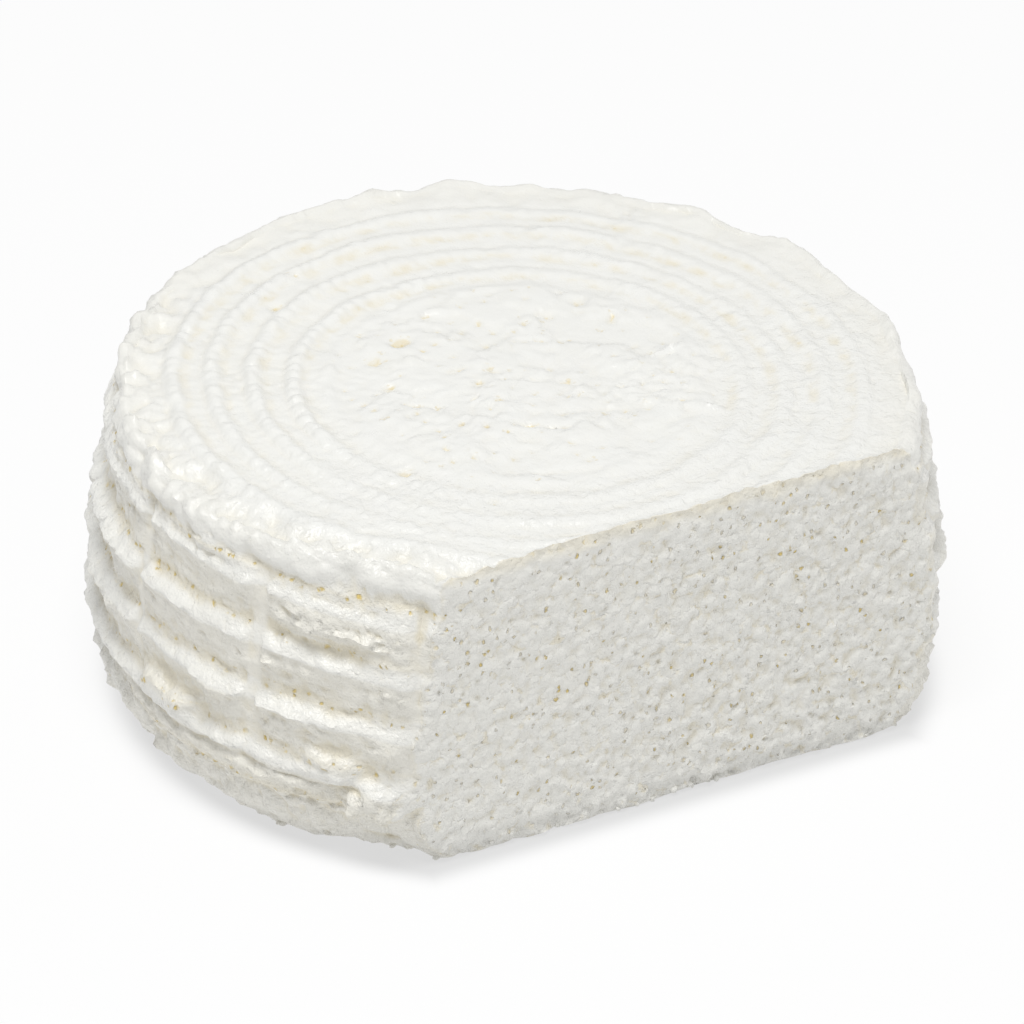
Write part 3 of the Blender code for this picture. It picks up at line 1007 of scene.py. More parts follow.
@dataclass
class BasketRelief:
    """Presses ledges, straps and rings into the wheel's skin and roughens the curd."""

    form: WheelForm
    axis_y: float
    inset: float = 0.55 * MM        # the skin starts a little inside the solid
    inner_ring: float = 47.0        # millimetres from the axis
    slump: float = 3.2              # millimetres that the ledges sink by the worn corner
    low_crease: float = 16.5        # millimetres above the underside
    low_lift: float = 5.6           # millimetres that the lowest crease lies above its even place
    lip_reach: float = 5.0
    lip_drop: float = -0.7

    def tree(self, material: bpy.types.Material) -> ReliefTree:
        """Build the tree.

        Args:
            material: The material that the skin gets.

        Returns:
            The finished tree.
        """
        form = self.form
        relief = ReliefTree("basket_relief", {
            "Ledge Pitch": form.ledge_pitch / MM, "Ledge Depth": form.ledge_depth / MM,
            "Crease At": form.crease_at, "Top Crest": form.top_crest / MM,
            "Strap Depth": form.strap_depth / MM, "Ring Height": 1.2, "Knuckle Pitch": 4.3,
            "Tear Depth": 1.0, "Lump Height": 1.1, "Pit Depth": 1.0,
        })
        bench = relief.bench
        turn, out, rise = relief.read("turn"), relief.read("out") / MM, relief.read("rise") / MM
        skin = bench.vector(turn.cos() * out, turn.sin() * out, rise)
        side, top = relief.read("side"), relief.read("top")
        grip = relief.read("grip")

        ledge, flank, hollow = self.ledges(relief, rise)
        crest_line = form.top_crest / MM
        weak = bench.grain(skin, 13.0, 1.0).ramp(-0.6, 0.5, 0.15, 0.5)
        shallow = rise.ramp(crest_line + 0.5, crest_line + 3.5)
        depth = ledge * (1.0 + 0.35 * relief.read("uneven")) * (1.0 - 0.55 * relief.read("cut_end"))
        depth = shallow.blend(depth, depth * weak)
        mound = relief.read("lumpy").least(1.2)
        depth = depth * (1.0 - 0.75 * mound) * turn.ramp(2.75, 3.05, 1.35, 1.0)
        strap, groove = self.straps(relief, turn, rise, skin)
        body = (1.0 - 0.8 * strap) * rise.ramp(1.0, 5.0)
        level = relief.given("Strap Depth") * 0.8 + 0.2 * depth
        depth = strap.blend(depth, level) + groove * 0.2 - 2.3 * mound * mound
        hollow = hollow * (1.0 - strap)

        torn, crest_bite = self.tears(relief, skin, rise, flank)
        lump = self.curds(relief, skin, rise)
        pits, specks = self.pits(relief, skin, hollow)
        side_relief = torn * body + lump - pits * relief.given("Pit Depth") - crest_bite * body
        chewed = (bench.grain(skin, 3.4, 1.0) + 0.5).most(-0.2)
        side_relief = side_relief + relief.read("ridge") * (0.45 + 1.2 * chewed) * (1.0 - strap)
        calm = 1.0 - 0.45 * relief.read("clean").most(strap)
        side_relief = side_relief + 0.55 * calm * bench.grain(skin, 8.0, 1.0)
        ringed = top * out.ramp(46.0, 52.0)
        fine = (0.05 + 0.34 * calm * side + 0.05 * ringed) * bench.grain(skin, 2.2, 2.0)
        fine = fine + (0.20 + 0.1 * ringed) * bench.grain(skin, 5.0, 1.0)

        rings, ring_hollow = self.rings(relief, turn, out, skin)
        disc, disc_hollow = self.disc(relief, turn, out, skin)
        top_relief = rings + disc

        relief_all = (side * side_relief + top * top_relief + fine * (1.0 - 0.5 * top)) * grip
        across = out + relief.read("drift") / MM - side * depth * out.above(90.0) * grip
        across = across + relief_all * relief.read("facing_out") - self.inset / MM * side
        scallop, swell = self.scallops(relief, turn, out, rise)
        swells = bench.grain(skin, 17.0, 1.0) * 0.9 + bench.grain(skin, 6.0, 1.0) * 0.25
        across = across + scallop + top * swells
        sway = bench.grain(skin, 11.0, 1.0) * 0.75 + bench.grain(skin, 4.5, 1.0) * 0.3
        sway = sway * side * rise.ramp(3.0, 12.0)
        slump = turn.ramp(3.50, 3.93) * turn.below(4.5)
        slump = slump * rise.ramp(6.0, 26.0) * rise.ramp(72.0, 81.0, 1.0, 0.0)
        height = rise + relief.read("lift") / MM + relief_all * relief.read("facing_up") + swell + sway
        low = self.low_crease
        squeeze = rise.ramp(low - 13.0, low) * rise.ramp(low, low + 9.0, 1.0, 0.0) * (1.0 - 0.8 * mound)
        height = height - self.slump * slump + self.low_lift * squeeze * side
        height = height - self.inset / MM * (1.0 - side)
        x = turn.cos() * across
        y = turn.sin() * across
        lip, ragged = self.cut_lip(relief, x, y, skin)
        height = height - (lip + ragged) * rise.ramp(60.0, 82.0)
        place = bench.vector(x * MM, y * MM + self.axis_y, (height * MM).most(0.0))
        source = Wire(bench, relief.entry.outputs["Geometry"])
        moved = bench.node("GeometryNodeSetPosition", None, {"Geometry": source, "Position": place})
        # Whey's yellow in the specks, pits and cracks; the faint share along each crease is partly painted
        # warm shade.
        whey = side * (0.2 * hollow + specks * (1.0 - 0.5 * rise.ramp(74.0, 79.0)))
        whey = whey + top * (0.2 * ring_hollow + disc_hollow + 0.15 * ragged)
        kept = relief.store(moved, Mark.WHEY_AND_CREASE_SHADE.value, whey.least(1.0) * grip)
        smooth = strap + side * relief.read("clean") * 0.3 + top - ringed
        kept = relief.store(kept, Mark.SMOOTH.value, smooth)
        # Painted warm shade: the warm mark is strongest on the flanks under the crests and by the creases,
        # and grows towards the foot of the side; on the top it holds whey's yellow in the ring grooves and a
        # faint tint towards the rim.
        under = flank * 0.45 + rise.ramp(14.0, 22.0, 0.35, 0.0) + hollow * 0.3
        warm = side * (0.12 + 0.6 * under) * turn.ramp(2.72, 3.14, 0.45, 1.0) * grip
        warm = warm + top * (0.9 * ring_hollow + 0.12 * out.ramp(86.0, 94.0))
        kept = relief.store(kept, Mark.WARM_SHADE_AND_WHEY.value, warm)
        relief.close(kept, material)
        return relief

    def ledges(self, relief: ReliefTree, rise: Wire) -> tuple[Wire, Wire, Wire]:
        """Depth of the ledges below their crests.

        Args:
            relief: The tree.
            rise: Height, in millimetres.

        Returns:
            The depth, 1 on the flank above each crease, and 1 around each crease.
        """
        form = self.form
        crease, deep = relief.given("Crease At"), relief.given("Ledge Depth")
        place = ((rise - relief.given("Top Crest")) / relief.given("Ledge Pitch")).fraction()
        shelf = deep * 0.5 * (1.0 - (math.pi * (place / crease) ** 0.9).cos())
        under = (place - crease) / (1.0 - crease)
        flank = deep * (0.66 * (1.0 - under) + 0.34 * (1.0 - under ** 3.5))
        on_shelf = place.below(crease)
        banded = rise.above(form.lowest_crest() / MM - 0.01) * rise.below(form.crease() / MM + 0.01)
        away = abs(place - crease) * relief.given("Ledge Pitch")
        hollow = away.ramp(0.3, 2.2, 1.0, 0.0) * banded
        last = form.crease() / MM + 0.01
        fading = rise.above(last) * rise.ramp(last, last + 4.5, 1.0, 0.0)
        return on_shelf.blend(flank, shelf) * banded + deep * fading, (1.0 - on_shelf) * banded, hollow

    def straps(self, relief: ReliefTree, turn: Wire, rise: Wire, skin: Wire) -> tuple[Wire, Wire]:
        """The upright straps.

        Args:
            relief: The tree.
            turn: Angle about the axis.
            rise: Height, in millimetres.
            skin: Place on the skin, in millimetres.

        Returns:
            1 on a strap's plain face, and 1 in the thin groove at each of its sides.
        """
        form = self.form
        bench = relief.bench
        bay = 2.0 * math.pi / form.strap_count
        wander = bench.grain(skin, 14.0, 1.0) * 0.006
        step = ((turn + wander - form.strap_start) / bay + 0.5 + form.strap_count).fraction() - 0.5
        off = abs(step) * (bay * 105.0) + 0.35 * bench.grain(skin, 3.0)
        broad = 1.0 + 0.35 * (turn - math.radians(201.5)).cos().ramp(0.97, 0.995)
        lasting = bench.grain(bench.moved(skin, 0.0, 0.0, 70.0), 16.0, 1.0).ramp(-0.7, 0.1, 0.45, 1.0)
        lasting = lasting * rise.ramp(24.0, 44.0, 0.25, 1.0) * rise.ramp(71.0, 79.0, 1.0, 0.0)
        strap = (off / broad).ramp(1.0, 2.5, 1.0, 0.0) * lasting
        groove = (off / broad).ramp(1.3, 2.0) * (off / broad).ramp(2.0, 3.0, 1.0, 0.0) * lasting * 0.6
        return strap, groove

    def scallops(self, relief: ReliefTree, turn: Wire, out: Wire, rise: Wire) -> tuple[Wire, Wire]:
        """Shallow scallops that the basket's rim leaves round the top.

        Args:
            relief: The tree.
            turn: Angle about the axis.
            out: Radius, in millimetres.
            rise: Height, in millimetres.

        Returns:
            How far the rim moves out, and up.
        """
        bench = relief.bench
        around = bench.vector(turn.cos() * 100.0, turn.sin() * 100.0, 0.0)
        shape = relief.read("scallop") - 0.25 + 0.12 * bench.grain(around, 5.0, 1.0)
        zone = out.ramp(87.0, 95.0) * rise.ramp(70.0, 77.0)
        return shape * zone * 2.2, shape * zone * 1.4

    def tears(self, relief: ReliefTree, skin: Wire, rise: Wire, flank: Wire) -> tuple[Wire, Wire]:
        """Torn, flaky curd on the flanks and bitten crests.

        Args:
            relief: The tree.
            skin: Place on the skin, in millimetres.
            rise: Height, in millimetres.
            flank: 1 on the flank under each crest.

        Returns:
            Height of the flakes, and how far the crests are bitten back.
        """
        bench = relief.bench
        bent = bench.wander(skin, 6.0, 2.6)
        streaks = bench.vector_math("MULTIPLY", bent, Vector((0.42, 0.42, 1.25)))
        drawn = bench.grain(bench.vector_math("MULTIPLY", bent, Vector((0.22, 0.22, 1.0))), 2.1, 1.0)
        folds = 1.0 - 3.0 * abs(bench.grain(streaks, 3.0, 3.0, 0.55)).least(0.66)
        reach = bench.grain(skin, 19.0, 1.0).ramp(0.0, 0.9) * 0.6 * (1.0 - relief.read("clean"))
        low = rise.ramp(13.0, 22.0, 0.45, 0.0)
        loose = reach.most(low).most(0.24)
        amount = relief.read("torn").most(loose)
        flakes = folds * (relief.read("torn") - 0.8 * loose)
        squat = bench.vector_math("MULTIPLY", bent, Vector((0.7, 0.7, 1.0)))
        bite = bench.grain(squat, 5.0, 1.0).ramp(-0.1, 1.3) * 1.5
        torn = flakes * relief.given("Tear Depth") + 0.62 * drawn
        return torn, bite * (0.2 + 1.1 * amount) * (1.0 - flank * 0.4)

    def curds(self, relief: ReliefTree, skin: Wire, rise: Wire) -> Wire:
        """Height of the rounded curds that stand out of the side.

        Args:
            relief: The tree.
            skin: Place on the skin, in millimetres.
            rise: Height, in millimetres.

        Returns:
            Their height.
        """
        bench = relief.bench
        bent = bench.wander(skin, 4.0, 2.2)
        squat = bench.vector_math("MULTIPLY", bent, Vector((0.8, 0.8, 1.0)))
        big, small = bench.lumps(squat, 5.4, 0.25), bench.lumps(bent, 2.9, 0.15)
        shoulder = rise.ramp(73.0, 77.0) * 1.2
        foot = rise.ramp(12.0, 21.0, 1.6, 0.0)
        base = 0.42 - 0.24 * relief.read("clean")
        mask = relief.read("lumpy").most(shoulder).most(foot).most(base)
        heap = 0.5 * (bench.beads(bent, 3.6) - 0.4) * (relief.read("lumpy") + 0.25 * foot)
        round_big = 1.1 + 0.75 * shoulder + 0.25 * foot
        fine_small = 0.8 - 0.35 * shoulder - 0.15 * foot
        curd = (round_big * (big - 0.5) + fine_small * (small - 0.5)) * mask
        return (curd + heap) * relief.given("Lump Height")

    def pits(self, relief: ReliefTree, skin: Wire, hollow: Wire) -> tuple[Wire, Wire]:
        """Small ragged holes, gathered along the creases.

        Args:
            relief: The tree.
            skin: Place on the skin, in millimetres.
            hollow: 1 in each crease.

        Returns:
            Depth of the holes, and 1 where whey has gathered in one.
        """
        bench = relief.bench
        bent = bench.wander(skin, 2.2, 2.4)
        dashes = bench.vector_math("MULTIPLY", bent, Vector((0.6, 0.6, 1.0)))
        crease = bench.dots(dashes, 2.7, 0.36, 0.7) * hollow
        loose = bench.dots(bent, 6.5, 0.2, 0.5)
        broad = bench.dots(bench.moved(bent, 40.0, 7.0, 3.0), 9.0, 0.22, 0.35)
        return crease * 0.55 + loose * 0.7 + broad * 0.8, (crease + loose * 0.5).least(1.0)

    def rings(self, relief: ReliefTree, turn: Wire, out: Wire, skin: Wire) -> tuple[Wire, Wire]:
        """Raised rings of the basket's floor, with their knuckles.

        Args:
            relief: The tree.
            turn: Angle about the axis.
            out: Radius, in millimetres.
            skin: Place on the skin, in millimetres.

        Returns:
            Height of the rings, and 1 in the grooves where whey gathers.
        """
        form = self.form
        bench = relief.bench
        half = 0.5 * form.ring_width / MM
        faint = (turn - 3.72).cos().ramp(0.84, 0.98) * 0.65
        left = (turn - 2.62).cos().ramp(0.1, 0.9)
        strength = (1.0 - faint) * (0.55 + 0.8 * left) * relief.given("Ring Height")
        total: Operand = 0.0
        grooves: Operand = 0.0
        ripple = bench.grain(skin, 7.0, 2.0)
        pitch = relief.given("Knuckle Pitch")
        for index, radius in enumerate(form.ring_radii):
            place = (out - radius / MM) / half
            dome = place.ramp(-1.25, -0.1) * place.ramp(0.25, 1.25, 1.0, 0.0)
            phase = turn * (radius / MM) / pitch * math.pi + ripple * 2.2 + 1.7 * index
            knuckle = abs(phase.sin()) ** 0.6
            bumps = (knuckle - 0.6) * (0.32 + 0.34 * left) * (0.8 + 0.5 * ripple)
            height = strength * (0.80 + 0.25 * ripple) + bumps
            edge = place.ramp(0.9, 1.05) * place.ramp(1.1, 1.3, 1.0, 0.0)
            total = total + dome * height - 0.12 * edge * (1.0 - faint)
            grooves = grooves + place.ramp(-2.0, -1.2) * place.ramp(-0.9, -0.2, 1.0, 0.0)
        inner = out - self.inner_ring
        middle = inner.ramp(-3.0, 0.0) * inner.ramp(0.0, 3.0, 1.0, 0.0)
        total = total + 0.5 * middle * (0.7 + 0.5 * ripple)
        away = (turn - math.radians(59.0)).cos().ramp(-0.6, 0.6, 0.35, 1.0)
        broken = bench.grain(skin, 4.5, 3.0, 0.6).ramp(-0.35, 0.7)
        return total, grooves * broken * away * (1.0 - 0.6 * faint)

    def disc(self, relief: ReliefTree, turn: Wire, out: Wire, skin: Wire) -> tuple[Wire, Wire]:
        """Uneven skin of the top: smooth plates, ragged cracks between them and pits.

        Args:
            relief: The tree.
            turn: Angle about the axis.
            out: Radius, in millimetres.
            skin: Place on the skin, in millimetres.

        Returns:
            Height of the relief, and 1 where whey has gathered.
        """
        bench = relief.bench
        bent = bench.wander(skin, 5.0, 3.5)
        ragged = bench.grain(bent, 2.4, 1.0)
        plates = bench.grain(bent, 22.0, 3.0, 0.5)
        step = plates.ramp(-0.05, 0.07) * 0.7
        second = bench.grain(bench.moved(bent, 90.0, 30.0, 0.0), 17.0, 2.0).ramp(0.05, 0.16) * 0.5
        inner = out.ramp(44.0, 52.0, 1.0, 0.0)
        small = bench.lumps(bent, 2.8, 0.2) - 0.5
        worn = (turn - math.radians(195.0)).cos().ramp(-0.1, 0.8)
        rough = small * 0.8 * bench.grain(bent, 15.0, 1.0).ramp(0.05, 0.5, 0.12 + 0.4 * worn, 1.0)
        crack = abs(plates).ramp(0.0, 0.07, 1.0, 0.0) * bench.grain(skin, 9.0).ramp(0.0, 0.5) * inner
        clods = (bench.lumps(bent, 7.0, 0.35) - 0.5) * 2.3 + small * 0.7
        rim = out.ramp(87.0, 91.0) * (0.35 + 0.9 * worn) * clods
        rim = rim + 1.9 * worn * out.ramp(78.0, 90.0) * bench.grain(skin, 10.0, 1.0)
        plate = relief.read("plate") * (0.7 + 1.1 * small + 0.3 * ragged)
        seam = relief.read("seam") * (0.75 + 0.8 * ragged + 0.8 * small)
        nicks = bench.dots(bench.wander(skin, 2.0, 1.8), 5.0, 0.28, 0.5, True) * inner
        pit = relief.read("pit") * (0.8 + 0.5 * bench.grain(skin, 1.6, 1.0))
        sunk = 0.35 * crack + pit + 0.6 * nicks
        height = (step + second) * (0.35 + 0.65 * inner) + rough + rim + plate + seam - sunk - 0.5
        return height, pit.ramp(0.05, 1.0) * 0.7 + crack * 0.2 + (-seam).ramp(0.2, 1.0) * 0.8 + nicks * 0.7

    def cut_lip(self, relief: ReliefTree, x: Wire, y: Wire, skin: Wire) -> tuple[Wire, Wire]:
        """The rounded, crumbling upper edge of the cut.

        Args:
            relief: The tree.
            x: Place across, in millimetres from the axis.
            y: Place away from the axis, in millimetres.
            skin: Place on the skin, in millimetres; not used.

        Returns:
            Drop of the rounded lip, and of the crumbled edge.
        """
        bench = relief.bench
        away = y + self.form.cut_distance / MM
        lip = away.ramp(0.0, self.lip_reach, 1.0, 0.0) ** 1.5 * self.lip_drop
        crumb = bench.grain(bench.vector(x, y * 1.4, 0.0), 3.6, 2.0, 0.6).ramp(-0.4, 0.9)
        worn = x.ramp(-40.0, -8.0, 1.7, 0.5)
        return lip, away.ramp(0.0, 3.2, 1.0, 0.0) * crumb * worn


@dataclass
class CutFace:
    """The flat face where the slice was taken away."""

    form: WheelForm
    plane: float
    spacing: float = 1.05 * MM
    closest: float = 0.22 * MM
    edge_width: float = 1.7 * MM
    edge_fade: float = 0.6          # how far the face's look fades towards its edge
    jitter: float = 0.22            # how far each inner point strays, as a share of the spacing
    seed: int = 5

    def take_slice(self, mesh: bpy.types.Mesh) -> bmesh.types.BMesh:
        """Cut the skin with the plane and close it with a fine face.

        Args:
            mesh: The skin of the whole wheel.

        Returns:
            The closed skin, its new points marked in the layer "cut".
        """
        work = bmesh.new()
        work.from_mesh(mesh)
        everything = work.verts[:] + work.edges[:] + work.faces[:]
        bmesh.ops.bisect_plane(
            work, geom=everything, dist=0.02 * MM,
            plane_co=(0.0, self.plane, 0.0), plane_no=(0.0, -1.0, 0.0),
            clear_outer=True,
        )
        work.verts.layers.float.new(Mark.CUT.value)
        edge = work.verts.layers.float.new("edge")
        cut = work.verts.layers.float[Mark.CUT.value]
        self.join_close(work)
        for vert in work.verts:
            vert[edge] = 1.0
        loop = self.boundary(work)
        for vert in loop:
            vert.co.y = self.plane
            vert[cut] = 1.0 - self.edge_fade
        corners = [Vector((vert.co.x, vert.co.z)) for vert in loop]
        inner = self.lattice(corners)
        edges = [(i, (i + 1) % len(loop)) for i in range(len(loop))]
        result = geometry.delaunay_2d_cdt(corners + inner, edges, [], 1, 1e-7, True)
        outline = np.array([(corner.x, corner.y) for corner in corners])
        verts = []
        for place, sources in zip(result[0], result[3]):
            known = [source for source in sources if source < len(loop)]
            if known:
                verts.append(loop[known[0]])
                continue
            vert = work.verts.new((place.x, self.plane, place.y))
            gap = float(np.hypot(outline[:, 0] - place.x, outline[:, 1] - place.y).min())
            vert[edge] = math.exp(-((gap / self.edge_width) ** 2))
            vert[cut] = 1.0 - self.edge_fade * vert[edge]
            verts.append(vert)
        places = np.array([(place.x, place.y) for place in result[0]])
        middles = np.array([places[list(triangle)].mean(axis=0) for triangle in result[2]])
        within = self.inside(outline, middles)
        for triangle, kept in zip(result[2], within):
            corner_verts = [verts[i] for i in triangle]
            if kept and len(set(corner_verts)) == 3:
                work.faces.new(corner_verts)
        bmesh.ops.recalc_face_normals(work, faces=work.faces)
        log.info("open edges after the cut: %d", sum(not edge.is_manifold for edge in work.edges))
        return work

    def join_close(self, work: bmesh.types.BMesh) -> None:
        """Join neighbouring points of the open edge that lie very close together.

        Args:
            work: The skin, cut open.
        """
        taken: set[bmesh.types.BMVert] = set()
        joined = {}
        loose = [edge for edge in work.edges if edge.is_boundary]
        for edge in sorted(loose, key=lambda edge: edge.calc_length()):
            if edge.calc_length() > self.closest:
                break
            if not taken.intersection(edge.verts):
                taken.update(edge.verts)
                joined[edge.verts[0]] = edge.verts[1]
        bmesh.ops.weld_verts(work, targetmap=joined)

    def boundary(self, work: bmesh.types.BMesh) -> list[bmesh.types.BMVert]:
        """The points of the longest open edge, in order.

        Args:
            work: The skin, cut open.

        Returns:
            The points.
        """
        loose = {edge for edge in work.edges if edge.is_boundary}
        longest: list[bmesh.types.BMVert] = []
        while loose:
            start = next(iter(loose)).verts[0]
            loop = []
            here = start
            step = next((edge for edge in here.link_edges if edge in loose), None)
            while step is not None:
                loop.append(here)
                loose.discard(step)
                here = step.other_vert(here)
                step = next((edge for edge in here.link_edges if edge in loose), None)
            if len(loop) > len(longest):
                longest = loop
        return longest

    def inside(self, outline: np.ndarray, cloud: np.ndarray) -> np.ndarray:
        """True for each point of a cloud that lies inside a closed outline.

        Args:
            outline: The outline's corners, as X and Z.
            cloud: The points, as X and Z.

        Returns:
            One truth value a point.
        """
        within = np.zeros(len(cloud), bool)
        for (ax, az), (bx, bz) in zip(outline, np.roll(outline, -1, axis=0)):
            if az != bz:
                crosses = (az > cloud[:, 1]) != (bz > cloud[:, 1])
                within ^= crosses & (cloud[:, 0] < (bx - ax) * (cloud[:, 1] - az) / (bz - az) + ax)
        return within

    def lattice(self, corners: list[Vector]) -> list[Vector]:
        """Jittered points that fill the outline.

        Args:
            corners: The outline, as X and Z.

        Returns:
            Points inside it, clear of its edge.
        """
        random = np.random.default_rng(self.seed)
        outline = np.array([(c.x, c.y) for c in corners])
        low, high = outline.min(axis=0), outline.max(axis=0)
        pitch = self.spacing * math.sqrt(0.75)
        rows = int((high[1] - low[1]) / pitch)
        points = []
        for row in range(1, rows):
            z = low[1] + row * pitch
            xs = np.arange(low[0] + 0.5 * self.spacing * (row % 2), high[0], self.spacing)
            points.append(np.stack((xs, np.full_like(xs, z)), axis=1))
        cloud = np.concatenate(points)
        cloud += random.uniform(-self.jitter, self.jitter, cloud.shape) * self.spacing
        cloud = cloud[self.inside(outline, cloud)]
        nearest = np.full(len(cloud), 1.0)
        for ax, az in outline:
            nearest = np.minimum(nearest, np.hypot(cloud[:, 0] - ax, cloud[:, 1] - az))
        return [Vector(point) for point in cloud[nearest > 0.5 * self.spacing].tolist()]

    def tree(self, material: bpy.types.Material) -> ReliefTree:
        """Build the tree that breaks up the cut face.

        Args:
            material: The material that the skin gets.

        Returns:
            The finished tree.
        """
        relief = ReliefTree("cut_relief", {
            "Grain Height": 1.85, "Pore Depth": 0.54, "Reach": 2.6, "Rounding": 0.9,
        })
        bench = relief.bench
        here = bench.node("GeometryNodeInputPosition")
        x = bench.node("ShaderNodeSeparateXYZ", None, {0: here}, 0) / MM
        y = bench.node("ShaderNodeSeparateXYZ", None, {0: here}, 1)
        z = bench.node("ShaderNodeSeparateXYZ", None, {0: here}, 2) / MM
        flat = bench.vector(x, z, 0.0)
        away = (y - self.plane) / MM
        near = (away / relief.given("Reach")).ramp(0.0, 1.0, 1.0, 0.0)
        bent = bench.wander(flat, 3.0, 2.4)
        right = x.ramp(-70.0, 60.0, 0.6, 1.0) * z.ramp(5.0, 60.0, 1.15, 0.85)
        lumps = 0.45 * (bench.lumps(bent, 4.6, 0.12) - 0.5) + 0.6 * (bench.lumps(bent, 2.6, 0.1) - 0.5)
        rough = bench.grain(bent, 2.2, 1.0) * 0.25 + bench.grain(bent, 9.0, 1.0) * 0.15
        pores = bench.dots(bench.moved(bent, 17.0, 5.0, 0.0), 3.9, 0.22, 0.3, True)
        height = (lumps + rough) * right * relief.given("Grain Height") - pores * relief.given("Pore Depth")
        gaps = 0.7 - bench.lumps(bench.vector(x, 0.0, z), 3.5, 0.05)
        foot = z.ramp(2.5, 6.0, 1.0, 0.0) * gaps + 0.3 * z.ramp(0.0, 0.8, 1.0, 0.0)
        uneven = 0.7 + 0.5 * bench.grain(flat, 3.0, 1.0)
        round_off = relief.read("edge") * relief.given("Rounding") * uneven
        move = (0.1 - height * z.ramp(0.0, 1.0) + 1.7 * foot + round_off) * near
        offset = bench.vector(0.0, move.most(-0.35) * MM, 0.0)
        source = Wire(bench, relief.entry.outputs["Geometry"])
        moved = bench.node("GeometryNodeSetPosition", None, {"Geometry": source, "Offset": offset})
        relief.close(moved, material)
        return relief


@dataclass(frozen=True)
class CurdFinish:
    """Moist white curd, yellow where whey has gathered, with painted warm shade in its hollows, creases and
    flanks.
    """

    name: str = "curd"
    curd: tuple[float, float, float, float] = (0.844, 0.845, 0.817, 1.0)
    shade: tuple[float, float, float, float] = (0.800, 0.788, 0.730, 1.0)
    # soft: warm tint of painted shade in hollows, creases and flanks; also the cut face's own warmer band
    # and whey's yellow in the top's ring grooves
    soft: tuple[float, float, float, float] = (0.795, 0.748, 0.62, 1.0)
    whey: tuple[float, float, float, float] = (0.74, 0.57, 0.19, 1.0)
    roughness: float = 0.34

    def material(self) -> bpy.types.Material:
        """Build the material.

        Returns:
            The finished material.
        """
        made = bpy.data.materials.new(self.name)
        made.use_nodes = True
        tree = made.node_tree
        tree.nodes.clear()
        bench = Bench(tree)
        place = bench.scaled(bench.node("ShaderNodeTexCoord", None, None, "Object"), 1.0 / MM)
        whey, cut = self.read(bench, Mark.WHEY_AND_CREASE_SHADE), self.read(bench, Mark.CUT)
        smooth, hollow = self.read(bench, Mark.SMOOTH).least(1.0), self.read(bench, Mark.HOLLOW)

        bent = bench.wander(place, 1.1, 1.3)
        slanted = bench.vector_math("MULTIPLY", bent, Vector((1.0, 1.0, 0.8)))
        dots = bench.dots(slanted, 2.15, 0.42 - 0.14 * cut, 0.85 - 0.3 * cut)
        rise = bench.node("ShaderNodeSeparateXYZ", None, {0: place}, 2)
        pores = dots * cut
        specks = dots * whey.ramp(0.04, 0.2) * rise.ramp(77.0, 80.0, 1.0, 0.3)
        clots = bench.beads(bent, 2.5)
        fine = bench.grain(place, 0.75, 1.0, 0.65)
        grit = bench.grain(place, 2.3, 2.0, 0.55)
        mottle = bench.grain(place, 9.0, 1.0, 0.6)

        back = bench.node("ShaderNodeSeparateXYZ", None, {0: place}, 1)
        lower = rise.ramp(72.0, 81.0, 1.5, 0.0) + rise.ramp(16.0, 28.0, 0.5, 0.0) * (1.0 - cut)
        upper = rise.ramp(76.0, 81.0) * back.ramp(-60.0, 30.0, 1.1, 0.4)
        tooth = (1.0 - 0.45 * smooth) * (lower + upper + 0.3 * cut)
        texture = (0.07 - 0.02 * cut) * fine + (0.14 - 0.04 * cut) * grit + (0.10 + 0.05 * cut) * clots
        texture = texture * tooth
        height = texture - 0.42 * pores - 0.3 * specks
        relief = {"Strength": 1.0, "Distance": MM, "Height": height}
        bump = bench.node("ShaderNodeBump", None, relief, "Normal")

        warm = (0.35 * mottle + 0.25 * grit + 0.35).ramp(0.0, 1.2) * 0.5
        base = self.mix(bench, warm, self.curd, self.shade)
        band = cut.ramp(0.0, 0.4) * (0.15 + 0.55 * (rise + 2.0 * mottle).ramp(76.5, 81.0))
        # Painted shade: the base turns towards the soft colour in the skin's hollows and the bump's low
        # points, where light is shaded and bounced about, and by the held warm mark.
        deep = hollow.ramp(-0.2, 2.2) * rise.ramp(75.0, 79.0, 0.6, 0.3)
        deep = deep + (-texture).ramp(-0.05, 0.3) * (0.25 + 0.7 * cut)
        base = self.mix(bench, (deep + self.read(bench, Mark.WARM_SHADE_AND_WHEY) + band).least(0.95), base, self.soft)
        gathered = 0.95 * specks + 0.08 * whey + 0.45 * whey.ramp(0.35, 0.9)
        stain = (gathered + pores * mottle.ramp(-0.2, 0.45, 0.25, 1.1)).least(0.95)
        colour = self.mix(bench, stain, base, self.whey)
        gloss = self.roughness + 0.08 * mottle + 0.06 * fine - 0.10 * whey
        values = {"Base Color": colour, "Roughness": gloss, "Normal": bump, "IOR": 1.43}
        surface = bench.node("ShaderNodeBsdfPrincipled", None, values)
        bench.node("ShaderNodeOutputMaterial", None, {"Surface": surface})
        return made

    def read(self, bench: Bench, mark: Mark) -> Wire:
        """A value held at each point of the mesh."""
        return bench.node("ShaderNodeAttribute", {"attribute_name": mark.value}, None, "Fac")

    def mix(self, bench: Bench, amount: Wire, first: Any, second: Any) -> Wire:
        """Blend two colours by an amount."""
        settings = {"data_type": "RGBA", "blend_type": "MIX"}
        return bench.node("ShaderNodeMix", settings, {0: amount, 6: first, 7: second}, 2)


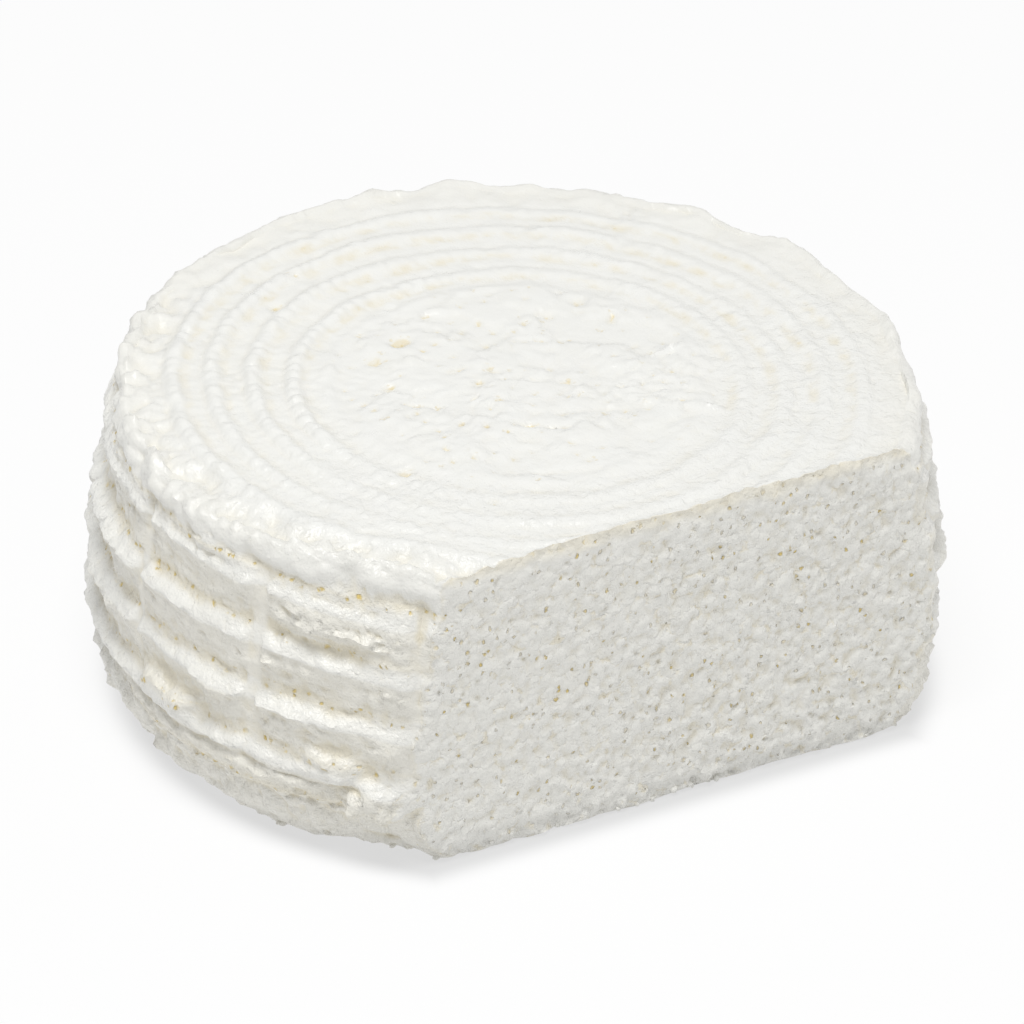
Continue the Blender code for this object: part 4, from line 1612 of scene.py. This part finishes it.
@dataclass
class Cheese:
    """The cheese itself: one closed skin."""

    finish: CurdFinish
    form: WheelForm = field(default_factory=WheelForm)
    hollow_steps: tuple[int, ...] = (3, 10, 30)

    def build(self) -> bpy.types.Object:
        """Make the skin, press the basket's marks in, take the slice and dress it.

        Returns:
            The finished piece, riding on its body.
        """
        low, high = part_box(NODE)
        axis_y = low.y + self.form.cut_distance
        material = self.finish.material()
        skin = WheelSkin(self.form, axis_y).build()
        skin.data = BasketRelief(self.form, axis_y).tree(material).apply(skin)
        face = CutFace(self.form, low.y + 0.45 * MM)
        work = face.take_slice(skin.data)
        work.to_mesh(skin.data)
        work.free()
        mesh = face.tree(material).apply(skin)
        self.keep_inside(mesh, low, high)
        self.feel_hollows(mesh)
        self.forget(mesh)
        mesh.shade_smooth()
        mesh.set_sharp_from_angle(angle=math.radians(52.0))
        piece = bpy.data.objects.new("panela", mesh)
        bpy.context.scene.collection.objects.link(piece)
        bpy.data.objects.remove(skin)
        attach(piece, BODY)
        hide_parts(NODE)
        return piece

    def keep_inside(self, mesh: bpy.types.Mesh, low: Vector, high: Vector) -> None:
        """Hold every point inside the solid's box.

        Args:
            mesh: The skin.
            low: Lowest corner of the box.
            high: Highest corner of the box.
        """
        points = np.empty(len(mesh.vertices) * 3)
        mesh.vertices.foreach_get("co", points)
        points = points.reshape(-1, 3)
        margin = np.array((0.05, 0.05, 0.0)) * MM
        log.info("skin reaches %s to %s", points.min(axis=0).round(5), points.max(axis=0).round(5))
        points = np.clip(points, np.array(low) + margin, np.array(high) - margin)
        mesh.vertices.foreach_set("co", points.ravel())
        mesh.update()

    def feel_hollows(self, mesh: bpy.types.Mesh) -> None:
        """Hold at each point how far it lies below its surroundings, in millimetres.

        Args:
            mesh: The skin.
        """
        count = len(mesh.vertices)
        points = np.empty(count * 3)
        mesh.vertices.foreach_get("co", points)
        points = points.reshape(-1, 3) / MM
        normals = np.empty(count * 3)
        mesh.vertex_normals.foreach_get("vector", normals)
        ends = np.empty(len(mesh.edges) * 2, np.int64)
        mesh.edges.foreach_get("vertices", ends)
        first, second = ends[0::2], ends[1::2]
        here, there = np.concatenate((first, second)), np.concatenate((second, first))
        share = 1.0 / np.bincount(here, minlength=count)
        smoothed = points
        hollow = np.zeros(count)
        for step in range(1, self.hollow_steps[-1] + 1):
            sums = [np.bincount(here, smoothed[there, axis], count) for axis in range(3)]
            smoothed = np.stack(sums, axis=1) * share[:, None]
            if step in self.hollow_steps:
                hollow += np.einsum("ij,ij->i", smoothed - points, normals.reshape(-1, 3))
        top = np.zeros(count, np.float32)
        mesh.attributes["top"].data.foreach_get("value", top)
        layer = mesh.attributes.new(Mark.HOLLOW.value, "FLOAT", "POINT")
        layer.data.foreach_set("value", (hollow * (1.0 - 0.3 * top)).astype(np.float32))

    def forget(self, mesh: bpy.types.Mesh) -> None:
        """Drop what only the relief reads.

        Args:
            mesh: The skin.
        """
        kept = {mark.value for mark in Mark}
        held = [layer for layer in mesh.attributes if layer.data_type == "FLOAT" and layer.domain == "POINT"]
        for name in [layer.name for layer in held if layer.name not in kept]:
            mesh.attributes.remove(mesh.attributes[name])


@dataclass
class Crumbs:
    """Crumbs of curd that cling to the cheese's foot."""

    finish: CurdFinish
    reach: float = 2.0 * MM         # height of the band that holds them
    inset: float = 0.1 * MM
    per_area: float = 110000.0      # at the crumbliest place, a square metre
    smallest: float = 0.5           # radius, in millimetres
    largest: float = 1.5
    rough: float = 0.3
    sides: tuple[float, float, float] = (1.0, 0.85, 0.75)
    scatter_seed: int = 11
    size_seed: int = 4
    turn_seed: int = 7
    corner_x: float = -64.0 * MM    # the worn corner, where more crumbs cling
    corner_y: float = -70.0 * MM
    corner_reach: float = 14.0 * MM
    calm_share: float = 0.25        # how crumbly the foot is away from the cut and the corner

    def tree(self, material: bpy.types.Material) -> ReliefTree:
        """Build the tree that scatters the crumbs.

        Args:
            material: The material that the crumbs get.

        Returns:
            The finished tree.
        """
        relief = ReliefTree("crumb_scatter", {
            "Crumbs per Square Metre": self.per_area, "Smallest": self.smallest,
            "Largest": self.largest, "Roughness": self.rough,
        })
        bench = relief.bench
        host = Wire(bench, relief.entry.outputs["Geometry"])
        density = relief.given("Crumbs per Square Metre") * relief.read("crumbly")
        values = {"Mesh": host, "Density": density, "Seed": self.scatter_seed}
        points = bench.node("GeometryNodeDistributePointsOnFaces", {"distribute_method": "RANDOM"}, values)
        ball = bench.node("GeometryNodeMeshIcoSphere", None, {"Radius": MM, "Subdivisions": 2})
        drawn = {2: 0.0, 3: 1.0, "Seed": self.size_seed}
        chance = bench.node("FunctionNodeRandomValue", {"data_type": "FLOAT"}, drawn, 1)
        span = relief.given("Largest") - relief.given("Smallest")
        size = relief.given("Smallest") + chance ** 1.3 * span
        spun = {0: Vector((0.0, 0.0, 0.0)), 1: Vector([math.tau] * 3), "Seed": self.turn_seed}
        turned = bench.node("FunctionNodeRandomValue", {"data_type": "FLOAT_VECTOR"}, spun)
        spread = bench.vector(*[size * side for side in self.sides])
        values = {"Points": points, "Instance": ball, "Rotation": turned, "Scale": spread}
        placed = bench.node("GeometryNodeInstanceOnPoints", None, values)
        real = bench.node("GeometryNodeRealizeInstances", None, {"Geometry": placed})
        here = bench.scaled(bench.node("GeometryNodeInputPosition"), 1.0 / MM)
        bump = bench.grain(here, 0.9, 1.0) * relief.given("Roughness") * MM
        away = bench.node("ShaderNodeCombineXYZ", None, {0: bump, 1: bump * -0.7, 2: bump * 0.6})
        moved = bench.node("GeometryNodeSetPosition", None, {"Geometry": real, "Offset": away})
        relief.close(moved, material)
        return relief

    def host(self, cheese: bpy.types.Mesh) -> bpy.types.Object:
        """The band along the cheese's foot that the crumbs cling to.

        Args:
            cheese: The finished skin.

        Returns:
            The band, with how crumbly it is held on its points.
        """
        work = bmesh.new()
        work.from_mesh(cheese)
        cut = work.verts.layers.float[Mark.CUT.value]
        crumbly = work.verts.layers.float.new("crumbly")
        for vert in work.verts:
            off = (vert.co.x - self.corner_x) / self.corner_reach
            corner = math.exp(-(off ** 2)) * (vert.co.y < self.corner_y)
            vert[crumbly] = max(vert[cut], self.calm_share + (1.0 - self.calm_share) * corner)
        spare = []
        for face in work.faces:
            height = face.calc_center_median().z
            if height > self.reach or height < 1e-6 or face.normal.z < -0.6:
                spare.append(face)
        bmesh.ops.delete(work, geom=spare, context="FACES")
        mesh = bpy.data.meshes.new("foot")
        work.to_mesh(mesh)
        work.free()
        band = bpy.data.objects.new("foot", mesh)
        bpy.context.scene.collection.objects.link(band)
        return band

    def build(self, cheese: bpy.types.Object) -> bpy.types.Object:
        """Scatter the crumbs along the cheese's foot.

        Args:
            cheese: The finished cheese.

        Returns:
            The crumbs as one piece, riding on the cheese's body.
        """
        low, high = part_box(NODE)
        band = self.host(cheese.data)
        mesh = self.tree(cheese.data.materials[0]).apply(band)
        bpy.data.objects.remove(band)
        for vert in mesh.vertices:
            vert.co.x = min(max(vert.co.x, low.x + self.inset), high.x - self.inset)
            vert.co.y = min(max(vert.co.y, low.y + self.inset), high.y - self.inset)
            vert.co.z = max(vert.co.z, 0.0)
        mesh.shade_smooth()
        piece = bpy.data.objects.new("crumbs", mesh)
        bpy.context.scene.collection.objects.link(piece)
        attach(piece, BODY)
        return piece


@dataclass(frozen=True)
class Lamp:
    """A square soft light."""

    name: str
    place: tuple[float, float, float]
    size: float       # length of its sides
    power: float      # watts


@dataclass(frozen=True)
class Studio:
    """Pale floor, soft light and the camera."""

    azimuth: float = math.radians(-31.27)
    elevation: float = math.radians(30.42)
    roll: float = math.radians(1.62)
    distance: float = 2.5
    lens: float = 351.5625
    aim_up: float = 39.0 * MM
    aim_right: float = -0.7 * MM
    floor_reach: float = 4.0
    floor_gap: float = 0.1 * MM     # the floor lies a hair below the cheese
    floor_tone: float = 0.12
    floor_glow: float = 0.86       # light that the floor gives of its own, as a lit backdrop does
    contact: float = 11.0 * MM      # how far the painted shadow at the foot reaches
    sky: float = 0.452
    aim_height: float = 0.05
    key: Lamp = Lamp("key", (-0.36, -0.35, 1.65), 0.7, 18.5)
    fill: Lamp = Lamp("fill", (1.25, -0.35, 0.30), 0.6, 2.0)
    # tone of the painted contact shadow in the floor's glow
    painted_shadow_tone: float = 0.72
    painted_shadow_share: float = 0.95     # how much of the painted shadow's tone shows right at the foot
    painted_shadow_fall: float = 1.8       # how fast it fades outward
    foot: float = 98.5 * MM         # radius of the foot
    foot_shift: float = 3.0 * MM    # how far the leaning wheel's foot lies to the right of its axis

    def clear_of_painted_shadow(self, bench: Bench, base: Vector, front: float) -> Wire:
        """How clear the floor beside the foot is of the painted contact shadow, worked out from the distance
        to the foot.

        Args:
            bench: Builder of the floor's shader.
            base: Foot of the wheel's axis.
            front: Where the cut stands along Y.

        Returns:
            About 0 at the foot, rising to 1 where the painted contact shadow ends.
        """
        place = bench.node("ShaderNodeTexCoord", None, None, "Object")
        across = bench.node("ShaderNodeSeparateXYZ", None, {0: place}, 0) - (base.x + self.foot_shift)
        along = bench.node("ShaderNodeSeparateXYZ", None, {0: place}, 1)
        back = along - base.y
        round_off = (across * across + back * back) ** 0.5 - self.foot
        out = round_off.most(front - along) / self.contact
        return 1.0 - self.painted_shadow_share * (1.0 - out).ramp(0.0, 1.0) ** self.painted_shadow_fall

    def floor(self, base: Vector, front: float) -> bpy.types.Object:
        """The pale floor.

        Args:
            base: Foot of the wheel's axis.
            front: Where the cut stands along Y.

        Returns:
            The floor.
        """
        mesh = bpy.data.meshes.new("floor")
        reach, level = self.floor_reach, -self.floor_gap
        corners = [(x * reach, y * reach, level) for x, y in ((-1, -1), (1, -1), (1, 1), (-1, 1))]
        mesh.from_pydata(corners, [], [(0, 1, 2, 3)])
        floor = bpy.data.objects.new("floor", mesh)
        bpy.context.scene.collection.objects.link(floor)
        material = bpy.data.materials.new("floor")
        material.use_nodes = True
        shader = material.node_tree.nodes["Principled BSDF"]
        shader.inputs["Base Color"].default_value = (*[self.floor_tone] * 3, 1.0)
        shader.inputs["Roughness"].default_value = 0.9
        shader.inputs["Specular IOR Level"].default_value = 0.0
        bench = Bench(material.node_tree)
        # Painted shadow: the floor's glow darkens towards the cheese's foot by distance alone, a painted
        # contact shadow.
        painted_shadow_colour = (*[self.painted_shadow_tone] * 3, 1.0)
        tints = {0: self.clear_of_painted_shadow(bench, base, front), 6: painted_shadow_colour, 7: (1.0, 1.0, 1.0, 1.0)}
        glow = bench.node("ShaderNodeMix", {"data_type": "RGBA", "blend_type": "MIX"}, tints, 2)
        material.node_tree.links.new(glow.socket, shader.inputs["Emission Color"])
        shader.inputs["Emission Strength"].default_value = self.floor_glow
        material.cycles.emission_sampling = "NONE"
        mesh.materials.append(material)
        return floor

    def camera(self, base: Vector) -> bpy.types.Object:
        """The camera.

        Args:
            base: Foot of the wheel's axis.

        Returns:
            The camera, made the scene's own.
        """
        az, el = self.azimuth, self.elevation
        forward = Vector((-math.sin(az) * math.cos(el), math.cos(az) * math.cos(el), -math.sin(el)))
        right = Vector((math.cos(az), math.sin(az), 0.0))
        up = right.cross(forward)
        aim = base + right * self.aim_right + up * self.aim_up
        across = right * math.cos(self.roll) + up * math.sin(self.roll)
        over = up * math.cos(self.roll) - right * math.sin(self.roll)
        turn = Matrix((across, over, -forward)).transposed().to_4x4()
        data = bpy.data.cameras.new("camera")
        data.lens = self.lens
        data.sensor_width = 36.0
        data.clip_end = 50.0
        camera = bpy.data.objects.new("camera", data)
        camera.matrix_world = Matrix.Translation(aim - forward * self.distance) @ turn
        bpy.context.scene.collection.objects.link(camera)
        bpy.context.scene.camera = camera
        return camera

    def hang(self, lamp: Lamp, aim: Vector) -> bpy.types.Object:
        """Hang a square soft light.

        Args:
            lamp: The light's place, size and power.
            aim: Where it looks.

        Returns:
            The light.
        """
        data = bpy.data.lights.new(lamp.name, "AREA")
        data.shape = "SQUARE"
        data.size = lamp.size
        data.energy = lamp.power
        hung = bpy.data.objects.new(lamp.name, data)
        hung.location = lamp.place
        hung.rotation_euler = (aim - Vector(lamp.place)).to_track_quat("-Z", "Y").to_euler()
        bpy.context.scene.collection.objects.link(hung)
        return hung

    def light(self) -> None:
        """Soft light from all round and a broad key from above."""
        scene = bpy.context.scene
        world = bpy.data.worlds.new("studio")
        world.use_nodes = True
        back = world.node_tree.nodes["Background"]
        back.inputs["Color"].default_value = (1.0, 1.0, 1.0, 1.0)
        back.inputs["Strength"].default_value = self.sky
        scene.world = world
        scene.view_settings.view_transform = "Standard"
        for lamp in (self.key, self.fill):
            self.hang(lamp, Vector((0.0, 0.0, self.aim_height)))

    def build(self, base: Vector, front: float) -> None:
        """Set the studio up.

        Args:
            base: Foot of the wheel's axis.
            front: Where the cut stands along Y.
        """
        self.floor(base, front)
        self.light()
        self.camera(base)


def main() -> None:
    """Build the cheese and its studio."""
    logging.basicConfig(level=logging.INFO, format="%(name)s: %(message)s")
    low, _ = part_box(NODE)
    cheese = Cheese(CurdFinish())
    piece = cheese.build()
    log.info("%s: %d faces", piece.name, len(piece.data.polygons))
    crumbs = Crumbs(cheese.finish).build(piece)
    log.info("%s: %d faces", crumbs.name, len(crumbs.data.polygons))
    Studio().build(Vector((0.0, low.y + cheese.form.cut_distance, low.z)), low.y)
    log.info("studio: floor, lights and camera")


if __name__ == "__main__":
    main()
